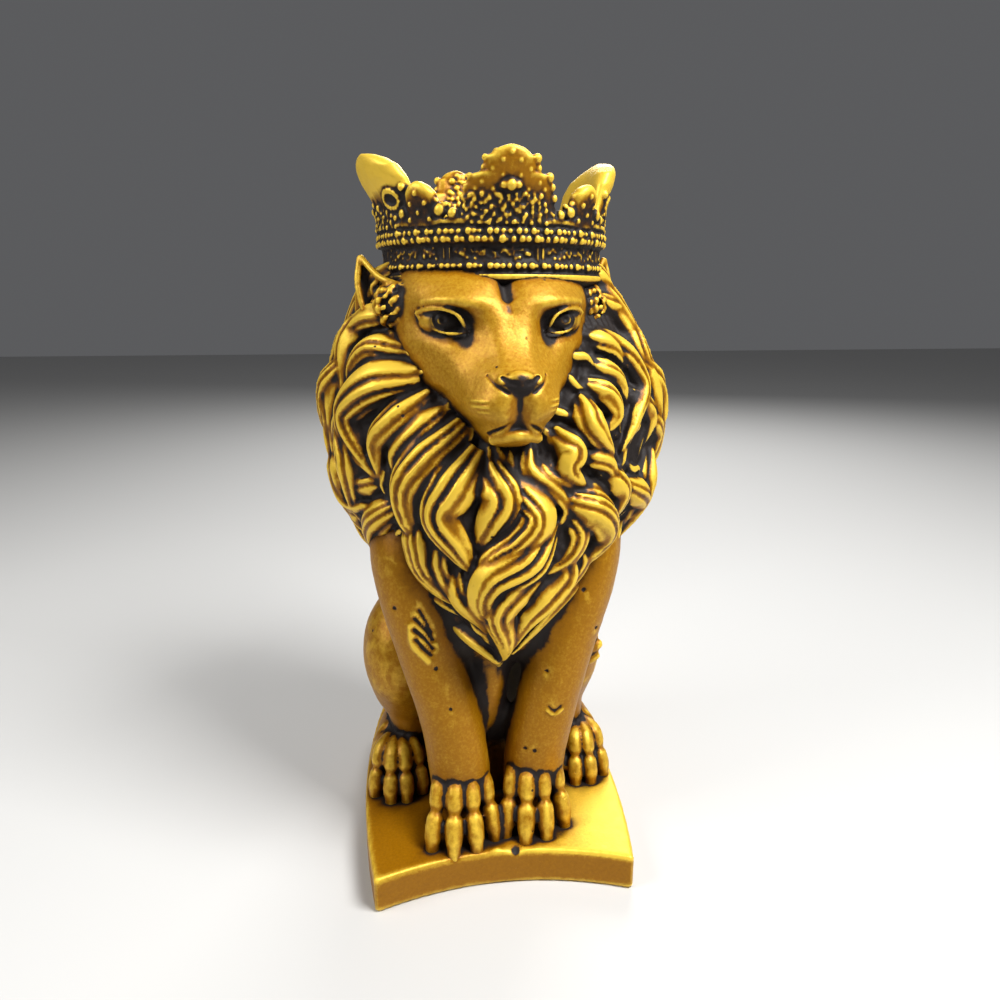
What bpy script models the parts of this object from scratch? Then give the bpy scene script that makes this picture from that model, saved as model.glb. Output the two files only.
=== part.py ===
"""A crowned lion seated on a small plinth, cast in one piece and painted gold.

The plinth is set by its own dimensions in metres. The lion and its crown are a free
form: their pose and carving are given in shares, and FIGURE_HEIGHT is HEIGHT_SHARES of
them, from the top of the plinth to the tip of the crown. The lion faces -Y, +X is to the
right of someone who looks at its face, and +Z is up from the underside of the plinth.
"""

import math

import bmesh
import bpy
import numpy as np
from mathutils import Euler, Matrix, Vector

# Plinth, in metres
PLINTH_WIDTH = 0.067
PLINTH_DEPTH = 0.086
PLINTH_HEIGHT = 0.010
PLINTH_HOLLOW = 0.0065
PLINTH_BULGE = 0.0040
PLINTH_EDGE = 0.0006

# Figure, in metres and in shares of its height
FIGURE_HEIGHT = 0.1762
HEIGHT_SHARES = 176.2
SHARE = FIGURE_HEIGHT / HEIGHT_SHARES
FOOT_SINK = 1.2

# Fineness of the carving, in shares
BODY_VOXEL = 1.0
FIGURE_VOXEL = 0.9
BODY_SOFTENING = 8
HEAD_SOFTENING = 1
PAW_SOFTENING = 1
HEAD_VOXEL = 0.7
FIGURE_TRIANGLES = 5000
HEAD_TRIANGLES = 2500
RING_SIDES = 12

# Head and crown, in shares
HEAD_PLACE = (-0.8, -6.0, 130.0)
HEAD_TURN = 5.0
CROWN_SEAT = (2.0, 6.0, 16.0)
CROWN_TURN = 9.0
CROWN_WALL = 2.8
CROWN_FLOOR = 4.0
BAND_RADIUS = 27.3
BEAD_RADIUS = 28.5
RIM_RADIUS = 29.2
LIP_TOP = 11.9
LIP_SETBACK = 0.5
GROOVE_DEPTH = 1.2
GROOVE_DROP = 0.9
RIM_TOP = 10.0
RIM_FOOT = 6.9
BEAD_TOP = 3.0
BEAD_FOOT = -0.9
BAND_FOOT = -3.0
FOOT_SETBACK = 1.5
PANEL_EASE = 0.7
BAND_STEPS = 32

# Leaves of the crown, in shares
LEAF_FOOT = 10.6
LEAF_FOOT_THICKNESS = 4.0
LEAF_SETBACK = 0.4
LEAF_SIDES = 12
BUD_SIDES = 8
FLEURON_HALF_WIDTH = 11.6
PETAL_HALF_WIDTH = 15.5
BUD_HALF_WIDTH = 4.6

# Each leaf: degrees round from the front, height of the tip, outward lean and thickness
FLEURONS = ((-7.0, 26.5, 4.0, 4.4), (184.0, 30.2, 4.0, 4.4))
PETALS = ((90.0, 28.6, 4.2, 6.5), (276.0, 27.6, 6.6, 7.0))
BUDS = ((-49.5, 20.0, 2.4, 4.4), (34.0, 20.0, 2.4, 4.4), (139.0, 20.0, 2.4, 4.4), (228.0, 20.0, 2.4, 4.4))

# Half width of each kind of leaf at shares of its rise, both as shares
FLEURON_STEPS = ((0.0, 1.3), (0.2, 1.08), (0.62, 0.86), (0.67, 0.58), (0.86, 0.53), (0.94, 0.32), (1.0, 0.08))
PETAL_STEPS = ((0.0, 1.05), (0.35, 1.0), (0.64, 0.97), (0.8, 0.86), (0.9, 0.62), (0.97, 0.32), (1.0, 0.1))
BUD_STEPS = ((0.0, 1.5), (0.25, 1.1), (0.75, 0.92), (0.9, 0.6), (1.0, 0.15))

GOLD = (0.58, 0.36, 0.05, 1.0)

# Face: heights over the head's centre, with half widths and depths from the middle outwards
FACE_ROWS = (
    (18.0, (0, 4, 8, 11, 15, 19, 21.5, 22.5), (-17.5, -18, -17.8, -16.8, -14.4, -11, -6.5, -1)),
    (15.0, (0, 4, 8, 11, 15, 19.5, 22.5, 23.5), (-21.2, -22.6, -22.6, -21.8, -19.4, -14.8, -8.5, -2)),
    (12.5, (0, 4, 8, 11, 15, 19.5, 23, 24), (-23.4, -25.2, -25.6, -24.8, -22.2, -17.4, -10, -2)),
    (10.0, (0, 4, 8, 11, 14.5, 19, 23.4, 24.5), (-26, -27.2, -27.4, -26.8, -24.6, -19.2, -11, -2)),
    (7.0, (0, 4, 7, 9.6, 14, 19, 23.6, 24.6), (-27.8, -28, -26.4, -22.6, -20.4, -17.2, -11, -2)),
    (4.0, (0, 3.8, 6.6, 9.6, 14, 19, 23.8, 24.6), (-29.2, -29, -26.8, -23, -20.8, -17.6, -11, -2)),
    (1.0, (0, 3.6, 6.4, 9.8, 14, 19, 23.6, 24.4), (-31.4, -31, -28.2, -25.2, -23.2, -18.6, -11.4, -2)),
    (-2.0, (0, 3.4, 6, 9.4, 13.5, 18.5, 23, 24), (-34.6, -34, -30.8, -27.4, -24.4, -18.8, -11.4, -2)),
    (-5.0, (0, 3.2, 6.2, 9.4, 13, 17.8, 21.8, 23), (-38.2, -37.8, -34.8, -30, -25.2, -18.9, -11.6, -2)),
    (-8.0, (0, 3, 6.6, 9.8, 12.6, 16.4, 20.4, 21.8), (-38.4, -38.8, -36.6, -31.6, -26, -19.8, -12.4, -3)),
    (-11.0, (0, 3.4, 7.2, 10.4, 11.8, 14, 17, 19), (-37.6, -39.2, -37.6, -32.4, -26.2, -20.4, -13.6, -4)),
    (-14.0, (0, 3.4, 7, 9.6, 10.6, 12, 14.5, 17), (-36.6, -38.6, -36.8, -32, -26.2, -20.6, -14, -5)),
    (-16.4, (0, 3, 5.8, 7.6, 8.6, 10, 12, 14), (-35.6, -36.4, -34.6, -31, -26, -20.6, -14, -5)),
    (-18.0, (0, 3, 5.6, 7.0, 7.8, 9, 11, 13), (-36.4, -36.2, -34.4, -31, -26, -20.6, -14, -5)),
    (-20.2, (0, 2.6, 4.6, 5.8, 6.4, 7.6, 9, 11), (-34, -33.4, -31.8, -29, -25, -20, -14, -5)),
    (-22.0, (0, 2, 3.4, 4.4, 5, 6, 7, 9), (-29, -29, -28, -26, -23, -19, -14, -5)),
)
FACE_LEVELS = 36
FACE_SIDES = 60

# Lids, brow and ear rim of the right half, in the head's frame
UPPER_LID = ((9.2, -25.2, 3.8), (11.2, -25.4, 7.2), (14.4, -24.2, 8.8), (17.4, -21.6, 8.8), (19.8, -18, 7.7))
LOWER_LID = ((9.2, -25.2, 3.6), (11.6, -24.6, 3.0), (14.6, -23.0, 3.2), (17.6, -20.6, 4.8), (19.8, -18, 7.2))
BROW = ((7.0, -27.2, 9.0), (12.0, -25.6, 10.2), (16.5, -22.2, 10.5), (20.5, -17.0, 9.8))
EAR_RIM = ((19.5, -14, 10), (22, -10.6, 14), (25.8, -6.2, 14.9), (28.2, -3, 17.2), (30.6, -0.6, 20))

# Mane: the core under its locks, as height, centre, half width, depth to front, depth to back
MANE_CORE = (
    (52.0, -1.0, 3.0, 32.0, -22.0),
    (60.0, 0.0, 12.0, 33.5, -6.0),
    (70.0, 0.5, 22.0, 35.0, 12.0),
    (80.0, 1.4, 30.0, 35.0, 24.0),
    (90.0, 2.2, 36.0, 34.5, 30.0),
    (100.0, 2.6, 39.0, 33.0, 33.0),
    (110.0, 2.8, 40.0, 30.0, 34.0),
    (120.0, 2.0, 38.5, 27.0, 33.5),
    (130.0, 1.2, 35.0, 25.0, 31.0),
    (140.0, 0.5, 29.5, 22.0, 27.0),
    (149.0, 0.5, 25.0, 18.0, 23.0),
)

# Locks of the front: root, middle and tip as (degrees round from the front, height), width
FRONT_LOCKS = (
    ((-39, 138), (-58, 138), (-68, 128), 5.0),
    ((-32, 130), (-52, 129), (-54, 117), 5.5),
    ((-56, 129), (-66, 123), (-72, 117), 6.0),
    ((-55, 124), (-60, 114), (-86, 103), 8.5),
    ((-22, 120), (-50, 120), (-55, 97), 9.0),
    ((-29, 115), (-47, 110), (-43, 94), 7.5),
    ((-22, 119), (-31, 104), (-37, 86), 11.0),
    ((-14, 117), (-21, 105), (-29, 93), 7.0),
    ((-56, 109), (-84, 96), (-48, 91), 9.0),
    ((-56, 92), (-76, 86), (-72, 78), 5.0),
    ((-37, 97), (-46, 88), (-66, 73), 9.5),
    ((-27, 92), (-37, 79), (-57, 64), 10.0),
    ((-70, 76), (-52, 67), (-30, 58), 5.0),
    ((-56, 66), (-30, 61), (-8, 54), 5.0),
    ((-11, 107), (-20, 95), (-20, 79), 13.0),
    ((-9, 107), (0, 93), (-14, 77), 9.0),
    ((0, 102), (7, 91), (-14, 67), 12.0),
    ((14, 88), (-7, 80), (-14, 64), 9.0),
    ((15, 77), (-3, 71), (-8, 55), 12.0),
    ((3, 110), (13, 98), (12, 87), 4.5),
    ((23, 85), (12, 77), (4, 61), 10.0),
    ((40, 72), (28, 66), (12, 58), 5.0),
    ((-60, 146), (-70, 134), (-82, 119), 9.0),
    ((-80, 148), (-88, 138), (-90, 126), 8.0),
    ((28, 141), (46, 142), (46, 131), 5.0),
    ((56, 147), (60, 136), (54, 124), 8.0),
    ((52, 132), (64, 124), (76, 108), 9.0),
    ((76, 148), (84, 138), (78, 124), 8.0),
    ((27, 131), (50, 129), (66, 104), 7.5),
    ((24, 125), (44, 122), (35, 104), 6.5),
    ((22, 120), (28, 113), (34, 105), 5.0),
    ((19, 118), (20, 108), (35, 102), 8.5),
    ((12, 112), (16, 105), (25, 98), 10.0),
    ((43, 113), (53, 108), (54, 99), 6.5),
    ((20, 101), (28, 100), (37, 97), 5.5),
    ((28, 99), (41, 94), (42, 86), 7.5),
    ((38, 98), (68, 90), (62, 78), 6.5),
    ((14, 98), (36, 88), (22, 68), 8.5),
    ((29, 94), (49, 84), (29, 70), 6.5),
    ((12, 90), (18, 83), (26, 76), 5.5),
)

HIND_TOES = (-6.4, -2.2, 2.2, 6.6)

# Rows of plainer locks round the sides and the back: height of root, drop, count and width
BACK_ROWS = (
    (85.0, 20.0, 11, 11.5),
    (101.0, 22.0, 12, 12.0),
    (117.0, 23.0, 12, 12.0),
    (133.0, 24.0, 11, 11.5),
    (147.0, 22.0, 9, 11.0),
)
BACK_START = 74.0
BACK_SWAY = 6.0
BACK_LIFT = 0.2


def clear_scene():
    for old in list(bpy.data.objects):
        bpy.data.objects.remove(old, do_unlink=True)


def gold_material():
    material = bpy.data.materials.new("gold_paint")
    material.use_nodes = True
    shader = material.node_tree.nodes["Principled BSDF"]
    shader.inputs["Base Color"].default_value = GOLD
    shader.inputs["Metallic"].default_value = 0.7
    shader.inputs["Roughness"].default_value = 0.38
    return material


def new_collection(name):
    collection = bpy.data.collections.new(name)
    bpy.context.scene.collection.children.link(collection)
    return collection


def object_from(bm, name, collection):
    """A new object from a bmesh whose faces are turned to point out."""
    bmesh.ops.recalc_face_normals(bm, faces=bm.faces)
    mesh = bpy.data.meshes.new(name)
    bm.to_mesh(mesh)
    bm.free()
    made = bpy.data.objects.new(name, mesh)
    collection.objects.link(made)
    return made


def baked(made):
    """Replaces an object's mesh by what its modifiers make of it."""
    depsgraph = bpy.context.evaluated_depsgraph_get()
    mesh = bpy.data.meshes.new_from_object(made.evaluated_get(depsgraph))
    made.modifiers.clear()
    made.data = mesh
    return made


def curve_through(points, count):
    """Evenly spaced points on a smooth curve through the given ones, numbers in any columns."""
    points = np.asarray(points, dtype=float)
    padded = np.vstack([2 * points[0] - points[1], points, 2 * points[-1] - points[-2]])
    found = []
    for place in np.linspace(0, len(points) - 1, count):
        span = min(int(place), len(points) - 2)
        t = place - span
        a, b, c, d = padded[span : span + 4]
        found.append(
            0.5 * (2 * b + (c - a) * t + (2 * a - 5 * b + 4 * c - d) * t**2 + (3 * b - a - 3 * c + d) * t**3)
        )
    return np.array(found)


def loft(bm, rings):
    """Closed skin over a row of rings with equal numbers of points."""
    made = [[bm.verts.new(point) for point in ring] for ring in rings]
    sides = len(made[0])
    for low, high in zip(made, made[1:]):
        for i in range(sides):
            j = (i + 1) % sides
            bm.faces.new((low[i], low[j], high[j], high[i]))
    bm.faces.new(made[0][::-1])
    bm.faces.new(made[-1])


def ball(bm, centre, radii, turn=0.0, tilt=0.0, roll=0.0):
    """An ellipsoid, with turn about Z, tilt about X and roll about Y in degrees."""
    angles = Euler((math.radians(tilt), math.radians(roll), math.radians(turn)))
    matrix = Matrix.LocRotScale(Vector(centre), angles, Vector(radii))
    bmesh.ops.create_uvsphere(bm, u_segments=28, v_segments=18, radius=1.0, matrix=matrix)


def limb(bm, stations, count=14, sides=20, across=(1.0, 0.0, 0.0)):
    """A round limb through (x, y, z, half width, half depth) stations, with its width along across."""
    path = curve_through(stations, count)
    centres = path[:, :3]
    runs = np.gradient(centres, axis=0)
    runs /= np.linalg.norm(runs, axis=1)[:, None]
    rings = []
    for centre, run, (half_width, half_depth) in zip(centres, runs, path[:, 3:5]):
        side = np.asarray(across) - np.dot(across, run) * run
        side /= np.linalg.norm(side)
        face = np.cross(run, side)
        turns = np.linspace(0, 2 * math.pi, sides, endpoint=False)
        rings.append(
            [centre + side * half_width * math.cos(a) + face * half_depth * math.sin(a) for a in turns]
        )
    loft(bm, rings)


def mane_at(degrees, height, lift):
    """A point lift outside the core of the mane, at an angle round from the front."""
    table = np.array(MANE_CORE)
    middle, width, front, back = (np.interp(height, table[:, 0], table[:, i]) for i in (1, 2, 3, 4))
    s = math.sin(math.radians(degrees))
    c = math.cos(math.radians(degrees))
    depth = front if c > 0 else back
    return np.array([middle + (width + lift) * s, -(depth + lift) * c, height])


def mane_core(bm):
    """The mass under the locks, a loft between level sections."""
    rings = []
    for row in MANE_CORE:
        turns = np.linspace(0, 360, 48, endpoint=False)
        rings.append([mane_at(angle, row[0], 0.0) for angle in turns])
    loft(bm, rings)


def lock(bm, root, middle, tip, width, lift=1.0, count=11):
    """A lock of hair that lies on the mane, fattest a third of the way down, with a free tip."""
    path = curve_through((root, middle, tip), count)
    steps = np.linspace(0, 1, count)
    rise = lift + 0.16 * width * np.sin(math.pi * steps) - 1.5 * (1 - steps) ** 3
    centres = np.array([mane_at(a, h, r) for (a, h), r in zip(path, rise)])
    outer = np.array([mane_at(a, h, r + 1.0) for (a, h), r in zip(path, rise)])
    runs = np.gradient(centres, axis=0)
    runs /= np.linalg.norm(runs, axis=1)[:, None]
    fullness = np.sin(math.pi * (0.12 + 0.86 * steps**0.85)) ** 0.7
    rings = []
    for centre, out, run, full in zip(centres, outer, runs, fullness):
        up = out - centre
        up -= np.dot(up, run) * run
        up /= np.linalg.norm(up)
        side = np.cross(run, up)
        turns = np.linspace(0, 2 * math.pi, RING_SIDES, endpoint=False)
        half_width = 0.5 * width * full
        half_height = 0.4 * width * full + 0.5
        rings.append(
            [centre + side * half_width * math.cos(a) + up * half_height * math.sin(a) for a in turns]
        )
    loft(bm, rings)


def mane(bm):
    mane_core(bm)
    for root, middle, tip, width in FRONT_LOCKS:
        lock(bm, root, middle, tip, width)
    for row, (height, drop, count, width) in enumerate(BACK_ROWS):
        stretch = 2 * (180.0 - BACK_START)
        for i in range(count):
            angle = BACK_START + stretch * (i + 0.5 * (row % 2)) / (count - 0.5)
            sway = BACK_SWAY * (-1) ** (i + row)
            lock(
                bm,
                (angle, height),
                (angle + sway, height - 0.5 * drop),
                (angle - 0.6 * sway, height - drop),
                width,
                BACK_LIFT,
            )


def paw(bm, heel, toes, knuckle_height, toe_radius):
    """Long bent toes from the wrist at heel, over a high knuckle, down to tips on the plinth."""
    heel = np.array(heel)
    for x, y in toes:
        tip = np.array([x, y])
        root = heel[:2] + 0.35 * (tip - heel[:2])
        knuckle = heel[:2] + 0.68 * (tip - heel[:2])
        bend = heel[:2] + 0.9 * (tip - heel[:2])
        stations = (
            (*root, heel[2], toe_radius * 0.9, toe_radius * 0.9),
            (*knuckle, knuckle_height, toe_radius * 1.12, toe_radius * 1.12),
            (*bend, 0.55 * knuckle_height, toe_radius * 0.92, toe_radius * 0.92),
            (*tip, 0.2 * knuckle_height, toe_radius, toe_radius * 1.05),
            (*(tip + 0.04 * (tip - heel[:2])), -FOOT_SINK, toe_radius * 0.7, toe_radius * 0.7),
        )
        limb(bm, stations, count=12, sides=12)


def torso(bm):
    ball(bm, (0.0, -6.0, 72.0), (27.0, 24.0, 30.0), tilt=-8.0)
    back = (
        (0.0, 2.0, 92.0, 25.0, 24.0),
        (0.0, 8.0, 68.0, 25.5, 26.0),
        (0.0, 14.0, 46.0, 25.0, 26.5),
        (0.0, 17.0, 26.0, 26.0, 24.5),
        (0.0, 17.0, 8.0, 25.0, 21.0),
        (0.0, 17.0, -FOOT_SINK, 24.0, 19.0),
    )
    limb(bm, back, count=20, sides=32)
    belly = (
        (-1.0, -14.0, 52.0, 8.0, 8.0),
        (-1.5, -15.0, 34.0, 5.0, 6.0),
        (-1.0, -6.0, 16.0, 8.0, 7.0),
        (-1.0, -2.0, -FOOT_SINK, 14.0, 9.0),
    )
    limb(bm, belly)


def front_legs(bm):
    left = (
        (-21.0, -8.0, 88.0, 12.0, 13.0),
        (-22.5, -17.0, 73.0, 9.6, 11.0),
        (-17.5, -21.0, 50.0, 8.4, 9.0),
        (-13.2, -22.5, 34.0, 8.2, 8.4),
        (-10.6, -22.5, 19.0, 8.6, 7.6),
        (-10.2, -21.0, 8.0, 8.4, 7.0),
        (-10.2, -20.0, -FOOT_SINK, 8.4, 7.0),
    )
    right = (
        (24.0, -6.0, 88.0, 12.0, 13.0),
        (24.5, -15.0, 73.0, 9.4, 11.0),
        (17.5, -19.5, 50.0, 8.8, 9.0),
        (13.6, -20.5, 34.0, 8.6, 8.4),
        (10.8, -20.0, 19.0, 8.8, 7.6),
        (10.6, -18.5, 8.0, 8.6, 7.0),
        (10.6, -17.5, -FOOT_SINK, 8.6, 7.0),
    )
    limb(bm, left, count=22)
    limb(bm, right, count=22)


def hind_legs(bm):
    for side in (-1.0, 1.0):
        ball(bm, (side * 20.5 - 1.0, 17.0, 33.0), (13.0, 20.0, 25.0), tilt=10.0)
        ball(bm, (side * 25.5 - 1.5, 4.0, 43.0), (10.5, 15.0, 16.0), tilt=-20.0)
        foot = (
            (side * 25.0, 24.0, 7.0, 6.0, 8.0),
            (side * 26.0, 14.0, 8.0, 7.5, 9.0),
            (side * 27.2, 4.0, 8.0, 8.2, 8.5),
        )
        limb(bm, foot)
        ball(bm, (side * 27.6, 2.0, 6.5), (8.6, 7.5, 8.2))


def paws(bm):
    """Four toes on each foot, longer on the front ones."""
    paw(bm, (-10.2, -14.0, 17.0), ((-18.2, -32.0), (-12.9, -34.5), (-7.2, -33.5), (-2.2, -30.0)), 15.0, 2.5)
    paw(bm, (10.8, -11.0, 17.0), ((1.8, -29.0), (6.6, -32.0), (12.2, -31.0), (17.6, -27.0)), 15.0, 2.5)
    for side, forward in ((-1.0, 0.0), (1.0, 2.0)):
        tips = [(side * (27.5 + spread), -11.5 + forward + 0.09 * spread**2) for spread in HIND_TOES]
        paw(bm, (side * 27.5, 5.0 + forward, 13.0), tips, 12.0, 2.4)


def tail(bm):
    """From the rump down to the plinth and forward along the right haunch, to a small tuft."""
    stations = (
        (0.0, 36.0, 20.0, 4.2, 4.2),
        (5.0, 39.5, 9.0, 3.6, 3.6),
        (14.0, 38.5, 3.0, 3.2, 3.2),
        (24.0, 35.0, 2.4, 3.2, 3.2),
        (31.0, 29.0, 2.8, 4.4, 4.2),
        (34.0, 20.0, 2.2, 1.4, 1.4),
    )
    limb(bm, stations, count=24, across=(0.0, 0.0, 1.0))


def face(bm):
    """The front of the head, a loft of its level sections, mirrored about the middle."""
    rows = np.array([[(x, y, height) for x, y in zip(wide, deep)] for height, wide, deep in FACE_ROWS])
    fine = curve_through(rows.reshape(len(rows), -1), FACE_LEVELS).reshape(FACE_LEVELS, -1, 3)
    loft(bm, [curve_through(np.vstack([half[:0:-1] * (-1, 1, 1), half]), FACE_SIDES) for half in fine])


def ridge(bm, side, points, radius):
    """A round ridge through points of the right half of the head, or of the left for side -1."""
    stations = [(side * x, y, z, radius, radius) for x, y, z in points]
    limb(bm, stations, count=10, sides=10, across=(0.0, 0.3, 1.0))


def head(bm):
    """Face, brows, eyes, nose, lower lip and ears, in the head's own frame."""
    face(bm)
    for side in (-1.0, 1.0):
        ridge(bm, side, BROW, 1.5)
        ball(bm, (side * 14.0, -19.6, 6.0), (5.2, 4.8, 3.2), turn=side * 24.0)
        ridge(bm, side, UPPER_LID, 1.2)
        ridge(bm, side, LOWER_LID, 1.1)
        ear = (
            (side * 26.5, 1.0, 5.0, 6.5, 3.2),
            (side * 28.2, 0.8, 12.0, 5.2, 2.6),
            (side * 30.8, 0.4, 20.6, 1.3, 1.3),
        )
        limb(bm, ear, count=9)
        ridge(bm, side, EAR_RIM, 1.4)
    ball(bm, (0.0, -37.4, -5.8), (4.8, 2.6, 3.0))
    lip = ((-6.6, -31.6, -17.8), (0.0, -35.6, -18.0), (6.6, -31.6, -17.8))
    limb(bm, [(*point, 1.6, 1.8) for point in lip], count=10, sides=12, across=(0.0, 0.0, 1.0))


def fused(bm, name, collection, voxel, softening):
    """Overlapping lumps made into one skin, its seams softened."""
    made = object_from(bm, name, collection)
    remesh = made.modifiers.new("one_skin", "REMESH")
    remesh.mode = "VOXEL"
    remesh.voxel_size = voxel
    if softening:
        smooth = made.modifiers.new("soft_seams", "SMOOTH")
        smooth.factor = 0.5
        smooth.iterations = int(softening)
    return baked(made)


def crown_band(collection):
    """The turned band: bead mouldings, a recessed panel, the rim and an open hollow above its floor."""
    outline = (
        (0.0, CROWN_FLOOR),
        (BAND_RADIUS - CROWN_WALL, CROWN_FLOOR),
        (RIM_RADIUS - GROOVE_DEPTH - CROWN_WALL, LIP_TOP),
        (RIM_RADIUS - LIP_SETBACK, LIP_TOP),
        (RIM_RADIUS - GROOVE_DEPTH, LIP_TOP - GROOVE_DROP),
        (RIM_RADIUS, RIM_TOP),
        (RIM_RADIUS, RIM_FOOT),
        (BAND_RADIUS, RIM_FOOT - PANEL_EASE),
        (BAND_RADIUS, BEAD_TOP + PANEL_EASE),
        (BEAD_RADIUS, BEAD_TOP),
        (BEAD_RADIUS, BEAD_FOOT),
        (BAND_RADIUS - FOOT_SETBACK, BAND_FOOT),
        (0.0, BAND_FOOT),
    )
    bm = bmesh.new()
    corners = [bm.verts.new((x, 0.0, z)) for x, z in outline]
    for first, second in zip(corners, corners[1:]):
        bm.edges.new((first, second))
    mesh = bpy.data.meshes.new("crown_band")
    bm.to_mesh(mesh)
    bm.free()
    made = bpy.data.objects.new("crown_band", mesh)
    collection.objects.link(made)
    turn = made.modifiers.new("turn", "SCREW")
    turn.steps = int(BAND_STEPS)
    turn.render_steps = int(BAND_STEPS)
    turn.use_merge_vertices = True
    turn.merge_threshold = 0.0001
    turn.use_smooth_shade = False
    return baked(made)


def leaf(bm, placing, full_width, steps, sides):
    """One upright leaf of the crown, curved round the band, leaning outward and swelling upwards."""
    degrees, top, lean, thickness = placing
    turns = np.linspace(0, 2 * math.pi, int(sides), endpoint=False)
    across = np.copysign(np.abs(np.cos(turns)) ** 0.65, np.cos(turns))
    rings = []
    for rise, share in steps:
        swell = np.clip((rise - 0.25) / 0.4, 0, 1)
        half = 0.5 * (LEAF_FOOT_THICKNESS + (thickness - LEAF_FOOT_THICKNESS) * swell)
        middle = RIM_RADIUS - LEAF_SETBACK + lean * rise**1.4 - half
        radii = middle + half * math.sqrt(1.0 - np.clip((rise - 0.72) / 0.3, 0, 1) ** 2) * np.sin(turns)
        angles = math.radians(degrees) + across * full_width * share / (RIM_RADIUS + lean * rise)
        height = np.full(len(turns), LEAF_FOOT + (top - LEAF_FOOT) * rise)
        rings.append(np.stack([radii * np.sin(angles), -radii * np.cos(angles), height], axis=1))
    loft(bm, rings)


def crown(collection):
    """The band with its front and back fleurons, side petals and buds, as one solid in place."""
    kinds = (
        ("fleuron", FLEURONS, FLEURON_HALF_WIDTH, FLEURON_STEPS, LEAF_SIDES),
        ("petal", PETALS, PETAL_HALF_WIDTH, PETAL_STEPS, LEAF_SIDES),
        ("bud", BUDS, BUD_HALF_WIDTH, BUD_STEPS, BUD_SIDES),
    )
    made = crown_band(collection)
    leaves = []
    for name, placings, full_width, steps, sides in kinds:
        for i, placing in enumerate(placings):
            bm = bmesh.new()
            leaf(bm, placing, full_width, steps, sides)
            leaves.append(object_from(bm, f"{name}_{i + 1}", collection))
            join_by_union(made, leaves[-1])
    baked(made)
    for part in leaves:
        bpy.data.objects.remove(part, do_unlink=True)
    turn = Matrix.Rotation(math.radians(CROWN_TURN), 4, "Z")
    made.data.transform(Matrix.Translation(Vector(HEAD_PLACE) + Vector(CROWN_SEAT)) @ turn)
    return made


def arc_points(start, end, bow, count=9):
    """Points from start towards end on a shallow arc that bows sideways, without the end itself."""
    start, end = np.asarray(start), np.asarray(end)
    along = end - start
    across = np.array([along[1], -along[0]]) / np.linalg.norm(along)
    shares = np.linspace(0, 1, count, endpoint=False)
    return [start + along * t + across * bow * (1 - (2 * t - 1) ** 2) for t in shares]


def plinth_outline():
    """A hollowed front edge, sides that belly out and a straight back."""
    x, y = PLINTH_WIDTH / 2, PLINTH_DEPTH / 2
    corners = ((-x, -y), (x, -y), (x, y), (-x, y))
    points = arc_points(corners[0], corners[1], -PLINTH_HOLLOW)
    points += arc_points(corners[1], corners[2], PLINTH_BULGE)
    points.append(np.array(corners[2]))
    points += arc_points(corners[3], corners[0], PLINTH_BULGE)
    return points


def plinth(collection):
    bm = bmesh.new()
    bottom = bm.faces.new([bm.verts.new((x, y, 0.0)) for x, y in plinth_outline()])
    grown = bmesh.ops.extrude_face_region(bm, geom=[bottom])
    raised = [item for item in grown["geom"] if isinstance(item, bmesh.types.BMVert)]
    bmesh.ops.translate(bm, verts=raised, vec=(0.0, 0.0, PLINTH_HEIGHT))
    made = object_from(bm, "plinth", collection)
    bevel = made.modifiers.new("worn_edge", "BEVEL")
    bevel.width = PLINTH_EDGE
    bevel.segments = 1
    bevel.limit_method = "ANGLE"
    return baked(made)


def thinned(made, triangles):
    coarse = made.modifiers.new("coarse_facets", "DECIMATE")
    coarse.ratio = triangles / (2 * len(made.data.polygons))
    return baked(made)


def head_form(collection):
    """The face and ears in place, finer than the rest of the figure."""
    bm = bmesh.new()
    head(bm)
    made = fused(bm, "head_form", collection, HEAD_VOXEL, HEAD_SOFTENING)
    place = Matrix.Translation(Vector(HEAD_PLACE)) @ Matrix.Rotation(math.radians(HEAD_TURN), 4, "Z")
    made.data.transform(place)
    return thinned(made, HEAD_TRIANGLES)


def figure_form(collection):
    """The lion without its face and crown, as one skin in shares."""
    bm = bmesh.new()
    torso(bm)
    front_legs(bm)
    hind_legs(bm)
    tail(bm)
    body = fused(bm, "body_form", collection, BODY_VOXEL, BODY_SOFTENING)

    bm = bmesh.new()
    paws(bm)
    feet = fused(bm, "paw_form", collection, FIGURE_VOXEL, PAW_SOFTENING)

    bm = bmesh.new()
    mane(bm)
    for form in (body, feet):
        bm.from_mesh(form.data)
        bpy.data.objects.remove(form, do_unlink=True)
    made = fused(bm, "lion_figurine", collection, FIGURE_VOXEL, 0)
    return thinned(made, FIGURE_TRIANGLES)


def join_by_union(made, part):
    """Fuses a crisp part with the figure."""
    part.hide_render = True
    part.display_type = "WIRE"
    union = made.modifiers.new(f"with_{part.name}", "BOOLEAN")
    union.operation = "UNION"
    union.solver = "EXACT"
    union.use_self = True
    union.object = part


def build():
    clear_scene()
    parts = new_collection("lion_figurine")
    cutters = new_collection("joined_forms")
    made = figure_form(parts)
    lion_head, lion_crown = head_form(cutters), crown(cutters)
    to_metres = Matrix.Translation((0.0, 0.0, PLINTH_HEIGHT)) @ Matrix.Scale(SHARE, 4)
    for form in (made, lion_head, lion_crown):
        form.data.transform(to_metres)
    for part in (lion_head, lion_crown, plinth(cutters)):
        join_by_union(made, part)
    made.data.materials.clear()
    made.data.materials.append(gold_material())


build()
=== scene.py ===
"""Looks of a gold-painted cast lion with a crown: carved meshes, patina, light and camera.

The figure is carved in shares, thousandths of a metre at this size, measured from the top
of the plinth, in the same frame as the solid that it replaces: the lion faces -Y and +X is
to the right of someone who looks at its face.
"""

from math import copysign, cos, pi, radians, sin, sqrt

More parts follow.
